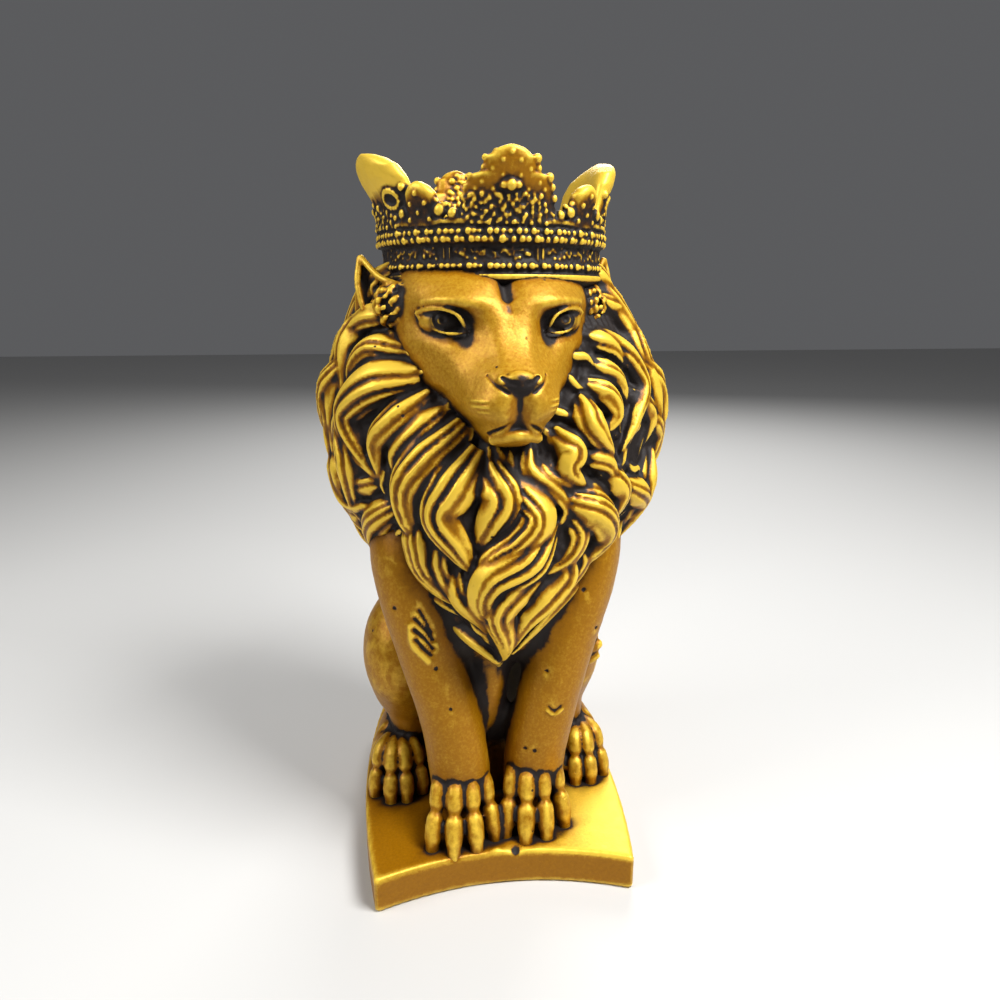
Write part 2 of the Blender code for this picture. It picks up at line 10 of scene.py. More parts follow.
import bmesh
import bpy
import numpy as np
from mathutils import Euler, Matrix, Vector, noise
from mathutils.bvhtree import BVHTree


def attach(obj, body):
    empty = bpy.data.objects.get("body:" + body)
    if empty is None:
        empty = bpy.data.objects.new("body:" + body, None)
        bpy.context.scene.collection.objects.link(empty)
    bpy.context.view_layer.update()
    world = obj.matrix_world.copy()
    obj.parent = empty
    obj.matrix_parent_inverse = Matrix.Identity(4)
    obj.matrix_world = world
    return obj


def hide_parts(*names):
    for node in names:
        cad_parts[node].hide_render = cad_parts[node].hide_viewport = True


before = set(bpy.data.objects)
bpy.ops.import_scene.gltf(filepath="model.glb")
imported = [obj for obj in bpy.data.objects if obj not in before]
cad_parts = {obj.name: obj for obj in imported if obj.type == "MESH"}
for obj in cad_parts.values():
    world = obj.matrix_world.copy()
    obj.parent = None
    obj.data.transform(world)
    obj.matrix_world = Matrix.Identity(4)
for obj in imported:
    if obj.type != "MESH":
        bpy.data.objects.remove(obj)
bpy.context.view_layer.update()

NODE = "lion_figurine"
SHARE = 0.001

# Plinth, in metres
PLINTH_WIDTH = 0.067
PLINTH_DEPTH = 0.086
PLINTH_HEIGHT = 0.010
PLINTH_HOLLOW = 0.0065
PLINTH_BULGE = 0.0040
PLINTH_EDGE = 0.0009
PLINTH_VOXEL = 0.0007

# Fineness of the carving, in shares, and the most triangles of each piece
MANE_VOXEL = 0.5
FACE_VOXEL = 0.38
BODY_VOXEL = 0.55
CROWN_VOXEL = 0.34
MANE_TRIANGLES = 195000
FACE_TRIANGLES = 110000
BODY_TRIANGLES = 130000
CROWN_TRIANGLES = 190000

FOOT_SINK = 1.2

# Head and crown, in shares
HEAD_PLACE = (-0.8, -6, 130)
HEAD_TURN = 5
CROWN_PLACE = (1.2, 0, 146)
CROWN_TURN = 9
CROWN_WALL = 2.8
CROWN_FLOOR = 4
BAND_RADIUS = 27.3
BEAD_RADIUS = 27.7
RIM_RADIUS = 28.5
LIP_RADIUS = RIM_RADIUS - 0.4
LIP_TOP = 11.9
RIM_TOP = 10
RIM_FOOT = 6.9
BEAD_TOP = 3
BEAD_FOOT = 0.5
LINE_FOOT = -0.9
BAND_FOOT = -3
FOOT_SETBACK = 1.5
BEAD_COUNT = 110
BEAD_SIZE = 0.78
PANEL_COUNT = 8
LEAF_FOOT_THICKNESS = 4
FLEURON_FOOT = 10.6

# Front and back fleurons, side petals and buds of the crown, as degrees round from the front,
# height of the tip, outward lean, half width and thickness
FLEURONS = ((-7, 26.5, 4, 11.6, 4.4), (184, 30.2, 4, 11.6, 4.4))
PETALS = ((90, 28.6, 4.2, 15.5, 6.5), (276, 27.6, 6.4, 15.5, 7))
BUDS = tuple((degrees, 20, 2.4, 4.6, 4.4) for degrees in (-49.5, 34, 139, 228))

# Half width of each kind of leaf at shares of its rise, both as shares
FLEURON_STEPS = (
    (0, 1.3), (0.12, 1.2), (0.2, 1.06), (0.3, 1), (0.47, 0.95), (0.61, 0.86), (0.65, 0.8),
    (0.665, 0.6), (0.76, 0.56), (0.855, 0.53), (0.875, 0.44), (0.94, 0.32), (0.97, 0.22), (1, 0.06),
)
PETAL_STEPS = ((0, 1.05), (0.35, 1), (0.64, 0.97), (0.8, 0.86), (0.9, 0.62), (0.97, 0.32), (1, 0.06))
BUD_STEPS = ((0, 1.5), (0.2, 1.15), (0.5, 1), (0.75, 0.92), (0.9, 0.6), (1, 0.15))

# Face: heights over the head's centre, with half widths and depths from the middle outwards
FACE_ROWS = (
    (18, (0, 4, 8, 11, 15, 19, 21.5, 22.5), (-17.5, -18, -17.8, -16.8, -14.4, -11, -6.5, -1)),
    (15, (0, 4, 8, 11, 15, 19.5, 22.5, 23.5), (-21.2, -22.6, -22.6, -21.8, -19.4, -14.8, -8.5, -2)),
    (12.5, (0, 4, 8, 11, 15, 19.5, 23, 24), (-23.4, -25.2, -25.6, -24.8, -22.2, -17.4, -10, -2)),
    (10, (0, 4, 8, 11, 14.5, 19, 23.4, 24.5), (-26, -27.2, -27.4, -26.8, -24.6, -19.2, -11, -2)),
    (7, (0, 4, 7, 9.6, 14, 19, 23.6, 24.6), (-27.8, -28, -26.4, -22.6, -20.4, -17.2, -11, -2)),
    (4, (0, 3.8, 6.6, 9.6, 14, 19, 23.8, 24.6), (-29.2, -29, -26.8, -23, -20.8, -17.6, -11, -2)),
    (1, (0, 3.6, 6.4, 9.8, 14, 19, 23.6, 24.4), (-31.4, -31, -28.2, -25.2, -23.2, -18.6, -11.4, -2)),
    (-2, (0, 3.4, 6, 9.4, 13.5, 18.5, 23, 24), (-34.6, -34, -30.8, -27.4, -24.4, -18.8, -11.4, -2)),
    (-5, (0, 3.2, 6.2, 9.4, 13, 17.8, 21.8, 23), (-38.2, -37.8, -34.8, -30, -25.2, -18.9, -11.6, -2)),
    (-8, (0, 3, 6.6, 9.8, 12.6, 16.4, 20.4, 21.8), (-38.4, -38.8, -36.6, -31.6, -26, -19.8, -12.4, -3)),
    (-11, (0, 3.4, 7.2, 10.4, 11.8, 14, 17, 19), (-37.6, -39.2, -37.6, -32.4, -26.2, -20.4, -13.6, -4)),
    (-14, (0, 3.4, 7, 9.6, 10.6, 12, 14.5, 17), (-36.6, -38.6, -36.8, -32, -26.2, -20.6, -14, -5)),
    (-16.4, (0, 3, 5.8, 7.6, 8.6, 10, 12, 14), (-35.6, -36.4, -34.6, -31, -26, -20.6, -14, -5)),
    (-18, (0, 3, 5.6, 7, 7.8, 9, 11, 13), (-36.4, -36.2, -34.4, -31, -26, -20.6, -14, -5)),
    (-20.2, (0, 2.6, 4.6, 5.8, 6.4, 7.6, 9, 11), (-34, -33.4, -31.8, -29, -25, -20, -14, -5)),
    (-22, (0, 2, 3.4, 4.4, 5, 6, 7, 9), (-29, -29, -28, -26, -23, -19, -14, -5)),
)
FACE_LEVELS = 90
FACE_SIDES = 150
UPPER_LID = ((9.2, -25, 3.8), (11.2, -25.2, 7.2), (14.4, -23.9, 8.6), (17.4, -21.2, 8.6), (19.8, -17.6, 7.7))
LOWER_LID = ((9.2, -25, 3.6), (11.6, -24.4, 3.3), (14.6, -22.7, 3.6), (17.6, -20.2, 5.2), (19.8, -17.6, 7.5))

# Tuft of grains in each ear: centre and radii in shares, and how many
EAR_TUFT = (23.4, -8, 9.2), (5, 4.6, 4.9)
EAR_GRAINS = 90

# Mane: the core under its locks, as height, centre, half width, depth to front, depth to back
MANE_CORE = (
    (52, -1, 3, 32, -22), (60, 0, 12, 33.5, -6), (70, 0.5, 22, 35, 12), (80, 1.4, 30, 35, 24),
    (90, 2.2, 36, 34.5, 30), (100, 2.6, 39, 33, 33), (110, 2.8, 40, 30, 34), (120, 2, 38.5, 27, 33.5),
    (130, 1.2, 35, 25, 31), (140, 0.5, 29.5, 22, 27), (149, 0.5, 25, 18, 23),
)

# Locks of the front: width and lift over the core, then for each point from root to tip its degrees
# round from the front and its height
FRONT_LOCKS = (
    (7, 2.2, -49, 137, -66, 136, -80, 131, -87, 127), (8, 1.4, -37, 128, -54, 129, -65, 124, -66, 118),
    (10, 3.4, -74, 126, -86, 118, -88, 110, -87, 104),
    (9, 3.4, -84, 103, -84, 98, -82, 92, -75, 89, -58, 91),
    (12, 1.6, -33, 123, -48, 121, -63, 114, -61, 106, -51, 98),
    (9, 1.4, -28, 119, -40, 113, -49, 107, -50, 98), (8, 1.2, -22, 116, -31, 111, -40, 105, -42, 99),
    (12, 1.8, -17, 112, -28, 105, -36, 98, -38, 90, -35, 83),
    (10, 1.6, -44, 93, -62, 86, -73, 78, -64, 72), (8, 3, -78, 90, -82, 84, -76, 79),
    (10, 1.4, -36, 91, -38, 83, -39, 75, -32, 68), (5.5, 2.6, -76, 81, -72, 73, -64, 67, -54, 62),
    (5, 2, -58, 65, -45, 60, -25, 57, -2, 53), (13, 1.8, -13, 106, -20, 99, -25, 92, -20, 84, -16, 78),
    (12, 1.2, -8, 103, -4, 96, -8, 90, -14, 83), (11, 2, -1, 100, 7, 92, 2, 86, -9, 81, -11, 74),
    (13, 1.8, 13, 89, 6, 82, -7, 77, -12, 70, -4, 63), (10, 1.8, 15, 78, 2, 74, -5, 68, 0, 61, 8, 54),
    (9, 1.6, 18, 84, 29, 76, 22, 70, 13, 64, 10, 56), (5.5, 2.4, 58, 77, 49, 70, 42, 63, 24, 54),
    (8, 1.2, -24, 80, -24, 72, -14, 66, 2, 57), (5.5, 1.6, 5, 108, 5, 102, 14, 97, 19, 92, 14, 87),
    (4, 0.9, -8, 109, -8, 104, -3, 98), (4, 0.9, -2, 108, -1, 103, 4, 97),
    (9, 2, 14, 110, 19, 106, 18, 102, 26, 97), (9, 2, 26, 117, 26, 112, 30, 108, 38, 104),
    (6, 1, 34, 126, 45, 122, 49, 115), (6.5, 1.8, 45, 133, 59, 127, 62, 119, 51, 112, 42, 104),
    (9, 3.2, 68, 126, 79, 118, 80, 111, 75, 105), (7, 2.4, 66, 112, 77, 105, 72, 97),
    (8, 1.4, 34, 101, 45, 94, 42, 86), (8, 3, 49, 96, 68, 89, 66, 83),
    (11, 1.8, 19, 95, 32, 91, 43, 83, 35, 75), (8, 1.4, 20, 92, 27, 86, 25, 80, 13, 76),
    (6.5, 2.6, 66, 86, 62, 79, 57, 74, 45, 68), (6, 0.9, 23, 98, 34, 94, 39, 87),
    (6.5, 2, 60, 141, 80, 136, 83, 130), (6, 1, 36, 132, 48, 129, 55, 124),
    (7, 1.4, 29, 121, 37, 118, 39, 113, 32, 109), (7, 1.2, 24, 105, 34, 102, 41, 96),
    (6, 1, 9, 104, 12, 101, 19, 98, 25, 94), (9, 1, -64, 148, -76, 142, -86, 134),
    (8, 1, 66, 149, 78, 143, 86, 133), (9, 0.8, -52, 116, -70, 112, -80, 103, -74, 97),
    (8, 0.6, 52, 118, 66, 112, 64, 103), (8, 0.4, -50, 98, -66, 95, -74, 88),
    (8, 0.4, -24, 88, -30, 80, -28, 72, -18, 66), (8, 0.8, 30, 84, 38, 77, 30, 70, 20, 63),
    (8, 0.8, -44, 82, -50, 76, -48, 70, -36, 64),
)

# Rows of plainer locks round the sides and the back: height of root, drop, count and width
BACK_ROWS = (
    (80, 24, 13, 11), (91, 27, 13, 12), (103, 28, 14, 12), (115, 29, 14, 12), (127, 29, 13, 12),
    (138, 28, 12, 11), (148, 26, 11, 10),
)
BACK_START = 74
BACK_SWAY = 6
BACK_LIFT = 0.8
BACK_WISPS = 170
BACK_WISP_WIDTH = 4.4

# Strands of a lock: one groove to each so many shares of width, its depth and the slant along it
STRAND_PITCH = 2.8
STRAND_DEPTH = 0.34
STRAND_SLANT = 0.4
LOCK_ROLL = 20
LOCK_HEIGHT = 0.46
LOCK_LENS = 1.35
LOCK_SWELL = 0.12
ROOT_SINK = 2.2
STRAND_WANDER = 0.13

# Thin wisps beside each broad lock: the least lock width, their width and distance from its middle
# as shares of it, and how far they part from it
WISP_FROM = 7
WISP_WIDTH = 0.3
WISP_SHIFT = 0.42
WISP_SPREAD = 2.2

# Small wisps that show in the gaps: their number, reach round the front, heights, width and lift
GAP_WISPS = 150
GAP_WISP_HEIGHTS = (60, 134)
GAP_WISP_WIDTH = 2.6
GAP_WISP_LIFT = 1.1

# Strands pressed into the core
CORE_STRANDS = 34
CORE_RELIEF = 1.2
SHARES_PER_DEGREE = 0.64

HIND_TOES = (-6.4, -2.2, 2.2, 6.6)

# Patina: reach of the rays that look for shelter and the hollows that count as deep, in metres
AIR_REACH = 0.009
AIR_GAP = 0.00012
AIR_RAYS = 8
FINE_HOLLOW = 0.00013
BROAD_HOLLOW = 0.0005
SMOOTH_PULL = 0.6
CROWN_DARK_RISE = (0, 0.009, 0.012, 0.016, 0.020, 0.026)
CROWN_DARK = (0.44, 0.40, 0.46, 0.38, 0.14, 0)

# Dark spots of the face: centre, radii along X, Y and Z and amount, on both halves of the head
FACE_DARK = (
    ((13.6, -23, 6), (6, 6, 3.5), 0.8),
    ((10, -25.6, 2.6), (2.4, 4, 3.2), 0.5),
    ((0, -40, -6.7), (5.2, 5, 3), 1),
    ((0, -39, -11), (0.7, 4, 2.6), 0.4),
    ((0, -22, 14.5), (1.7, 4, 3), 0.55),
    ((22, -11, 11), (4.6, 6, 4.2), 0.5),
    ((28, -1, 12), (3.2, 6, 7), 0.45),
)

# Dark and bright spots of the body in the same way, on one side only
BODY_DARK = (
    ((1, -14, 38), (9.5, 9.5, 20), 0.8),
    ((-1, -20.5, 28), (1.8, 4, 8), -0.7),
    ((0.5, -24, 5), (2.2, 9, 12), 0.35),
    ((-19, -30, 60), (2.2, 6, 5.5), 0.3),
)

# Gaps of the mane: lift over its core at which dark starts, the depth to full dark and its amount
GAP_LIFT = 3
GAP_DEPTH = 2.2
GAP_DARK = 0.9

# Pits of the casting seen on the front of the body, as x and height
BODY_PITS = (
    (-26.4, 66.4), (-29, 55.2), (-16.4, 50.5), (-13, 39.2), (12.3, 47), (21.8, 68.8),
    (25.8, 57.5), (7, 24), (9.4, 23.6),
)
PIT_RADIUS = 0.6
PIT_DEPTH = 0.5

# Folds of the body drawn on its front as (x, height) points, with half width and depth
BODY_FOLDS = (
    (((-20.2, 66.2), (-18.6, 63), (-17.2, 60.2)), 0.8, 0.6),
    (((-21.4, 64), (-19, 61.2), (-16.9, 58)), 0.8, 0.75),
    (((-21.7, 61.2), (-19.2, 58.8), (-17.1, 55.8)), 0.8, 0.75),
    (((-21.4, 58.4), (-19.6, 56.4), (-17.6, 54.2)), 0.8, 0.6),
    (((-22.6, 62), (-22, 57), (-18.4, 52.6)), 1.2, -0.5),
    (((12.4, 36.2), (14.4, 34.6), (16.6, 36)), 0.45, -0.45),
    (((12.8, 37.2), (14.4, 35.8), (16.2, 37)), 0.6, 0.35),
)
CASTING_WAVES = ((0.16, 0.10), (0.6, 0.05))
GOLDEN_STEP = 0.618034

# A burst bubble and a small bump on the plinth's top near its front edge, in metres
PLINTH_MARKS = (((0.0033, -0.0359), 0.0010), ((-0.0018, -0.0360), -0.0005))
PLINTH_MARK_RADIUS = 0.0013

# Paint of each piece: shares of fine and broad proudness in the rubbed paint, its level, the pull
# of shelter and of hollows, and how much proudness still leaves the paint as it is
RUBBED = {
    "lion_body": (0.80, 0, 0.36, 1.4, 0.9, 0.30),
    "lion_mane": (0.92, 0.16, 0.21, 1.7, 0.6, 0.09),
    "lion_face": (0.60, 0, 0.43, 1.1, 0.55, 0.09),
    "lion_crown": (1.08, 0.26, 0.3, 1.7, 0.55, 0.05),
    "lion_plinth": (0.36, 0, 0.30, 1.5, 0.4, 0.05),
}

# Paint colours, linear
GOLD_BRIGHT = (0.84, 0.55, 0.05)
GOLD = (0.34, 0.142, 0)
GOLD_DEEP = (0.14, 0.048, 0)
GOLD_BROWN = (0.060, 0.020, 0.002)
PATINA = (0.010, 0.006, 0.005)
BLACK, WHITE = (0, 0, 0), (1, 1, 1)

# Scales of the paint's patches, grain, pits, gaps between pits, satin and bump, per metre
PATCH_SCALE, GRAIN_SCALE, PIT_SCALE = 90, 1300, 120
PIT_GAPS, SATIN_SCALE, BUMP_SCALE = 45, 300, 1400

# How much patches and grain stir the paint, where a pit's edge lies, and the gold's finish
PATCH_STIR, GRAIN_STIR = 0.16, 0.34
PIT_EDGE = (0.035, 0.065)
GOLD_METALLIC, GOLD_ROUGHNESS, GOLD_SPECULAR = 0.32, 0.32, 0.3
BUMP_HEIGHT = 0.0003

# Camera at the photograph's angle, its focal length as a share of the picture's width
CAMERA_PLACE = (-0.02138, -0.20235, 0.1508)
CAMERA_TILT, CAMERA_TURN = 75, -7
FILM_WIDTH, FOCAL_SHARE = 36, 0.751

# Soft lights: place, size and power
LIGHTS = {
    "key": ((0.24, -0.22, 0.51), 0.22, 5),
    "fill": ((-0.38, -0.12, 0.40), 0.24, 1.5),
    "back": ((0.205, 0.65, 0.57), 0.40, 4),
}
LIGHT_AIM = (0, 0, 0.09)
SKY_COLOUR, SKY_STRENGTH = (0.95, 0.96, 1, 1), 0.11
FLOOR_COLOUR, FLOOR_ROUGHNESS = (0.56, 0.555, 0.54, 1), 0.7


def placed(name, data):
    """A new object of the data in the scene."""
    made = bpy.data.objects.new(name, data)
    bpy.context.scene.collection.objects.link(made)
    return made


def object_from(bm, name):
    """A new object from a bmesh whose faces are turned to point out."""
    bmesh.ops.recalc_face_normals(bm, faces=bm.faces)
    mesh = bpy.data.meshes.new(name)
    bm.to_mesh(mesh)
    bm.free()
    return placed(name, mesh)


def baked(made):
    """Replaces an object's mesh by what its modifiers make of it."""
    depsgraph = bpy.context.evaluated_depsgraph_get()
    mesh = bpy.data.meshes.new_from_object(made.evaluated_get(depsgraph))
    made.modifiers.clear()
    made.data = mesh
    return made


def curve_through(points, count):
    """Evenly spaced points on a smooth curve through the given ones, numbers in any columns."""
    points = np.asarray(points, dtype=float)
    padded = np.vstack([2 * points[0] - points[1], points, 2 * points[-1] - points[-2]])
    found = []
    for place in np.linspace(0, len(points) - 1, count):
        span = min(int(place), len(points) - 2)
        t = place - span
        a, b, c, d = padded[span : span + 4]
        found.append(
            0.5 * (2 * b + (c - a) * t + (2 * a - 5 * b + 4 * c - d) * t**2 + (3 * b - a - 3 * c + d) * t**3)
        )
    return np.array(found)


def unit(rows):
    """Each row scaled to length one."""
    return rows / np.linalg.norm(rows, axis=1)[:, None]


def circle(count):
    """Angles spaced evenly round a circle."""
    return np.linspace(0, 2 * pi, count, endpoint=False)


def loft(bm, rings):
    """Closed skin over a row of rings with equal numbers of points."""
    made = [[bm.verts.new(point) for point in ring] for ring in rings]
    sides = len(made[0])
    for low, high in zip(made, made[1:]):
        for i in range(sides):
            j = (i + 1) % sides
            bm.faces.new((low[i], low[j], high[j], high[i]))
    bm.faces.new(made[0][::-1])
    bm.faces.new(made[-1])


def uneven(places, ways):
    """Low waves of the casting, in and out of the surface."""
    for pitch, depth in CASTING_WAVES:
        waves = np.array([noise.noise(Vector(place) * pitch) for place in places])
        places += ways * (depth * waves)[:, None]


def ball(bm, centre, radii, turn=0, tilt=0, sides=28):
    """An ellipsoid, with turn about Z and tilt about X in degrees."""
    angles = Euler((radians(tilt), 0, radians(turn)))
    matrix = np.array(Matrix.LocRotScale(Vector(centre), angles, Vector(radii)))
    turns = circle(sides)
    rings = []
    for rise in np.linspace(-0.5 * pi, 0.5 * pi, sides // 2 + 1):
        flat = max(cos(rise), 0.02)
        ring = np.stack([flat * np.cos(turns), flat * np.sin(turns), np.full(sides, sin(rise))], axis=1)
        rings.append(ring @ matrix[:3, :3].T + matrix[:3, 3])
    loft(bm, rings)


def limb(bm, stations, count=14, sides=20, across=(1, 0, 0)):
    """A round limb through (x, y, z, half width, half depth) stations, with its width along across."""
    path = curve_through(stations, count)
    centres = path[:, :3]
    runs = unit(np.gradient(centres, axis=0))
    rings = []
    for centre, run, (half_width, half_depth) in zip(centres, runs, path[:, 3:5]):
        side = np.asarray(across) - np.dot(across, run) * run
        side /= np.linalg.norm(side)
        face = np.cross(run, side)
        turns = circle(sides)
        rings.append([centre + side * half_width * cos(a) + face * half_depth * sin(a) for a in turns])
    loft(bm, rings)


def one_skin(made, voxel):
    """Has overlapping lumps made into one skin."""
    remesh = made.modifiers.new("one_skin", "REMESH")
    remesh.mode = "VOXEL"
    remesh.voxel_size = voxel


def carved(name, voxel, softening, parts, forms=()):
    """One skin over some forms, which it takes, and what some functions add, its seams softened."""
    bm = bmesh.new()
    for form in forms:
        bm.from_mesh(form.data)
        bpy.data.objects.remove(form, do_unlink=True)
    for part in parts:
        part(bm)
    made = object_from(bm, name)
    one_skin(made, voxel)
    if softening:
        smooth = made.modifiers.new("soft_seams", "SMOOTH")
        smooth.factor = 0.5
        smooth.iterations = softening
    return baked(made)


def lighter(made, triangles):
    """Fewer triangles where the surface is plain."""
    now = sum(len(face.vertices) - 2 for face in made.data.polygons)
    if now > triangles:
        fewer = made.modifiers.new("fewer_facets", "DECIMATE")
        fewer.ratio = triangles / now
        baked(made)
    return made


def coordinates(mesh):
    found = np.empty(3 * len(mesh.vertices))
    mesh.vertices.foreach_get("co", found)
    return found.reshape(-1, 3)


def normals(mesh):
    found = np.empty(3 * len(mesh.vertices), dtype=np.float32)
    mesh.vertex_normals.foreach_get("vector", found)
    return found.reshape(-1, 3).astype(float)


def put_back(mesh, places):
    mesh.vertices.foreach_set("co", places.ravel())
    mesh.update()


def distance_to_path(places, path):
    """Distance of each point to a polyline."""
    best = np.full(len(places), np.inf)
    for start, end in zip(path, path[1:]):
        run = end - start
        along = np.clip((places - start) @ run / max(run @ run, 1e-9), 0, 1)
        best = np.minimum(best, np.linalg.norm(places - start - along[:, None] * run, axis=1))
    return best


def stroke(places, ways, points, width, depth, count=10, rows=None, columns=slice(None)):
    """Presses a soft groove (or, with a depth below zero, raises a ridge) along a curve.

    Only some rows of the places can be moved, and only some columns looked at.
    """
    path = curve_through(points, count) if len(points) > 2 else np.asarray(points, dtype=float)
    rows = np.arange(len(places)) if rows is None else rows
    spots = places[rows][:, columns]
    low, high = path.min(axis=0) - 2 * width, path.max(axis=0) + 2 * width
    near = np.all((spots > low) & (spots < high), axis=1)
    share = distance_to_path(spots[near], path) / width
    places[rows[near]] -= ways[rows[near]] * (depth * np.exp(-1.8 * share**2))[:, None]


def front_stroke(places, ways, points, width, depth):
    """A stroke along a curve that is drawn on the front as (x, height) points."""
    front = np.flatnonzero((ways[:, 1] < -0.2) & (places[:, 1] < -10))
    stroke(places, ways, points, width, depth, 12, front, (0, 2))


def dent(places, ways, centre, radii, depth):
    """Presses a soft bowl of given radii along X, Y and Z."""
    reach = np.linalg.norm((places - np.asarray(centre)) / np.asarray(radii), axis=1)
    near = reach < 1.6
    places[near] -= ways[near] * (depth * np.exp(-2.2 * reach[near] ** 2))[:, None]


def core_section(height):
    """Centre, half width and depths to front and back of the mane's core."""
    table = np.array(MANE_CORE)
    return [np.interp(height, table[:, 0], table[:, i]) for i in (1, 2, 3, 4)]


def mane_at(degrees, height, lift):
    """A point lift outside the core of the mane, at an angle round from the front."""
    middle, width, front, back = core_section(height)
    s = sin(radians(degrees))
    c = cos(radians(degrees))
    depth = front if c > 0 else back
    return np.array([middle + (width + lift) * s, -(depth + lift) * c, height])


def mane_core(bm):
    """The mass under the locks, a loft between level sections, pressed into wavy strands."""
    rings = []
    for height in np.linspace(MANE_CORE[0][0], MANE_CORE[-1][0], 130):
        ring = []
        for angle in np.linspace(0, 360, 260, endpoint=False):
            turn = radians(angle)
            wave = sin(CORE_STRANDS * turn + 1.8 * sin(height / 4.5 + 3 * turn))
            ring.append(mane_at(angle, height, CORE_RELIEF * abs(wave) ** 0.8))
        rings.append(ring)
    loft(bm, rings)


def lock(bm, points, width, lift, roll, count=34, sides=44):
    """A lock of hair that lies on the mane, full at its root, grooved into strands, with a free tip."""
    path = curve_through(points, count)
    steps = np.linspace(0, 1, count)
    rise = lift + LOCK_SWELL * width * np.sin(pi * steps**0.8) - ROOT_SINK * (1 - steps) ** 3
    centres = np.array([mane_at(a, h, r) for (a, h), r in zip(path, rise)])
    outer = np.array([mane_at(a, h, r + 1) for (a, h), r in zip(path, rise)])
    runs = unit(np.gradient(centres, axis=0))
    fullness = np.minimum(1, 0.6 + 1.6 * steps) * (1 - steps**2.2) ** 0.8 + 0.03
    strands = max(2, round(width / STRAND_PITCH))
    turns = circle(sides)
    lean = radians(roll)
    rings = []
    for centre, out, run, full, step in zip(centres, outer, runs, fullness, steps):
        up = out - centre
        up -= np.dot(up, run) * run
        up /= np.linalg.norm(up)
        side = np.cross(run, up)
        side, up = side * cos(lean) + up * sin(lean), up * cos(lean) - side * sin(lean)
        half_width = 0.5 * width * full
        half_height = LOCK_HEIGHT * width * full + 0.3
        across = np.cos(turns)
        wander = across + STRAND_WANDER * np.sin(2.6 * across + 1.7 * width + 1.2 * step)
        round_top = np.abs(np.sin(pi * (strands * (0.5 + 0.5 * wander) + STRAND_SLANT * step))) ** 0.7
        depth = 1 - STRAND_DEPTH * (1 - round_top) * np.clip(np.sin(turns) + 0.2, 0, 1)
        lens = np.sign(np.sin(turns)) * np.abs(np.sin(turns)) ** LOCK_LENS
        ring = centre + side * (half_width * across)[:, None]
        rings.append(ring + up * (half_height * lens * depth)[:, None])
    loft(bm, rings)


def beside(points, shift, splay):
    """A path of a lock moved sideways by shift shares, and by splay more towards its tip."""
    path = curve_through(points, 7)
    flat = path * (SHARES_PER_DEGREE, 1)
    runs = unit(np.gradient(flat, axis=0))
    steps = np.linspace(0, 1, len(path))
    away = shift * (1 - 0.5 * steps**2) + copysign(splay, shift) * steps**2
    flat += np.stack([-runs[:, 1], runs[:, 0]], axis=1) * away[:, None]
    return flat / (SHARES_PER_DEGREE, 1)


def gap_wisps(bm):
    """Thin wisps over the front that run with the nearest lock and show in the gaps between them."""
    paths = [curve_through(np.reshape(points, (-1, 2)), 12) for _, _, *points in FRONT_LOCKS]
    spots = np.vstack(paths)
    runs = unit(np.vstack([np.gradient(path * (SHARES_PER_DEGREE, 1), axis=0) for path in paths]))
    low, high = GAP_WISP_HEIGHTS
    for i in range(GAP_WISPS):
        height = low + (high - low) * (i + 0.5) / GAP_WISPS
        reach = min(84, 14 + 1.9 * (height - 58))
        angle = reach * (2 * ((i * GOLDEN_STEP) % 1) - 1)
        flat = (spots - (angle, height)) * (SHARES_PER_DEGREE, 1)
        run = runs[np.argmin((flat**2).sum(axis=1))]
        side = np.array((-run[1], run[0])) * (-1) ** i
        points = [
            (angle, height) + (run * along + side * bend) / (SHARES_PER_DEGREE, 1)
            for along, bend in ((-5, 0), (-1.6, 1), (2, -0.3), (5.6, 1.2))
        ]
        lift = GAP_WISP_LIFT * (1 + 0.6 * sin(1.7 * i))
        lock(bm, points, GAP_WISP_WIDTH * (1 + 0.3 * sin(2.9 * i)), lift, 0, 20, 16)


def front_locks(bm):
    """The listed locks of the front, each broad one with a thin wisp on either side."""
    for i, (width, lift, *points) in enumerate(FRONT_LOCKS):
        points = np.reshape(points, (-1, 2))
        roll = LOCK_ROLL * (-1) ** i
        lock(bm, points, width, lift, roll)
        if width >= WISP_FROM:
            for side in (-1, 1):
                splay = WISP_SPREAD * (1 + 0.4 * sin(2.1 * i + side))
                thin = beside(points, side * WISP_SHIFT * width, splay)
                lock(bm, thin[1:], WISP_WIDTH * width, 0.75 * lift - 0.4, -roll, 26, 20)


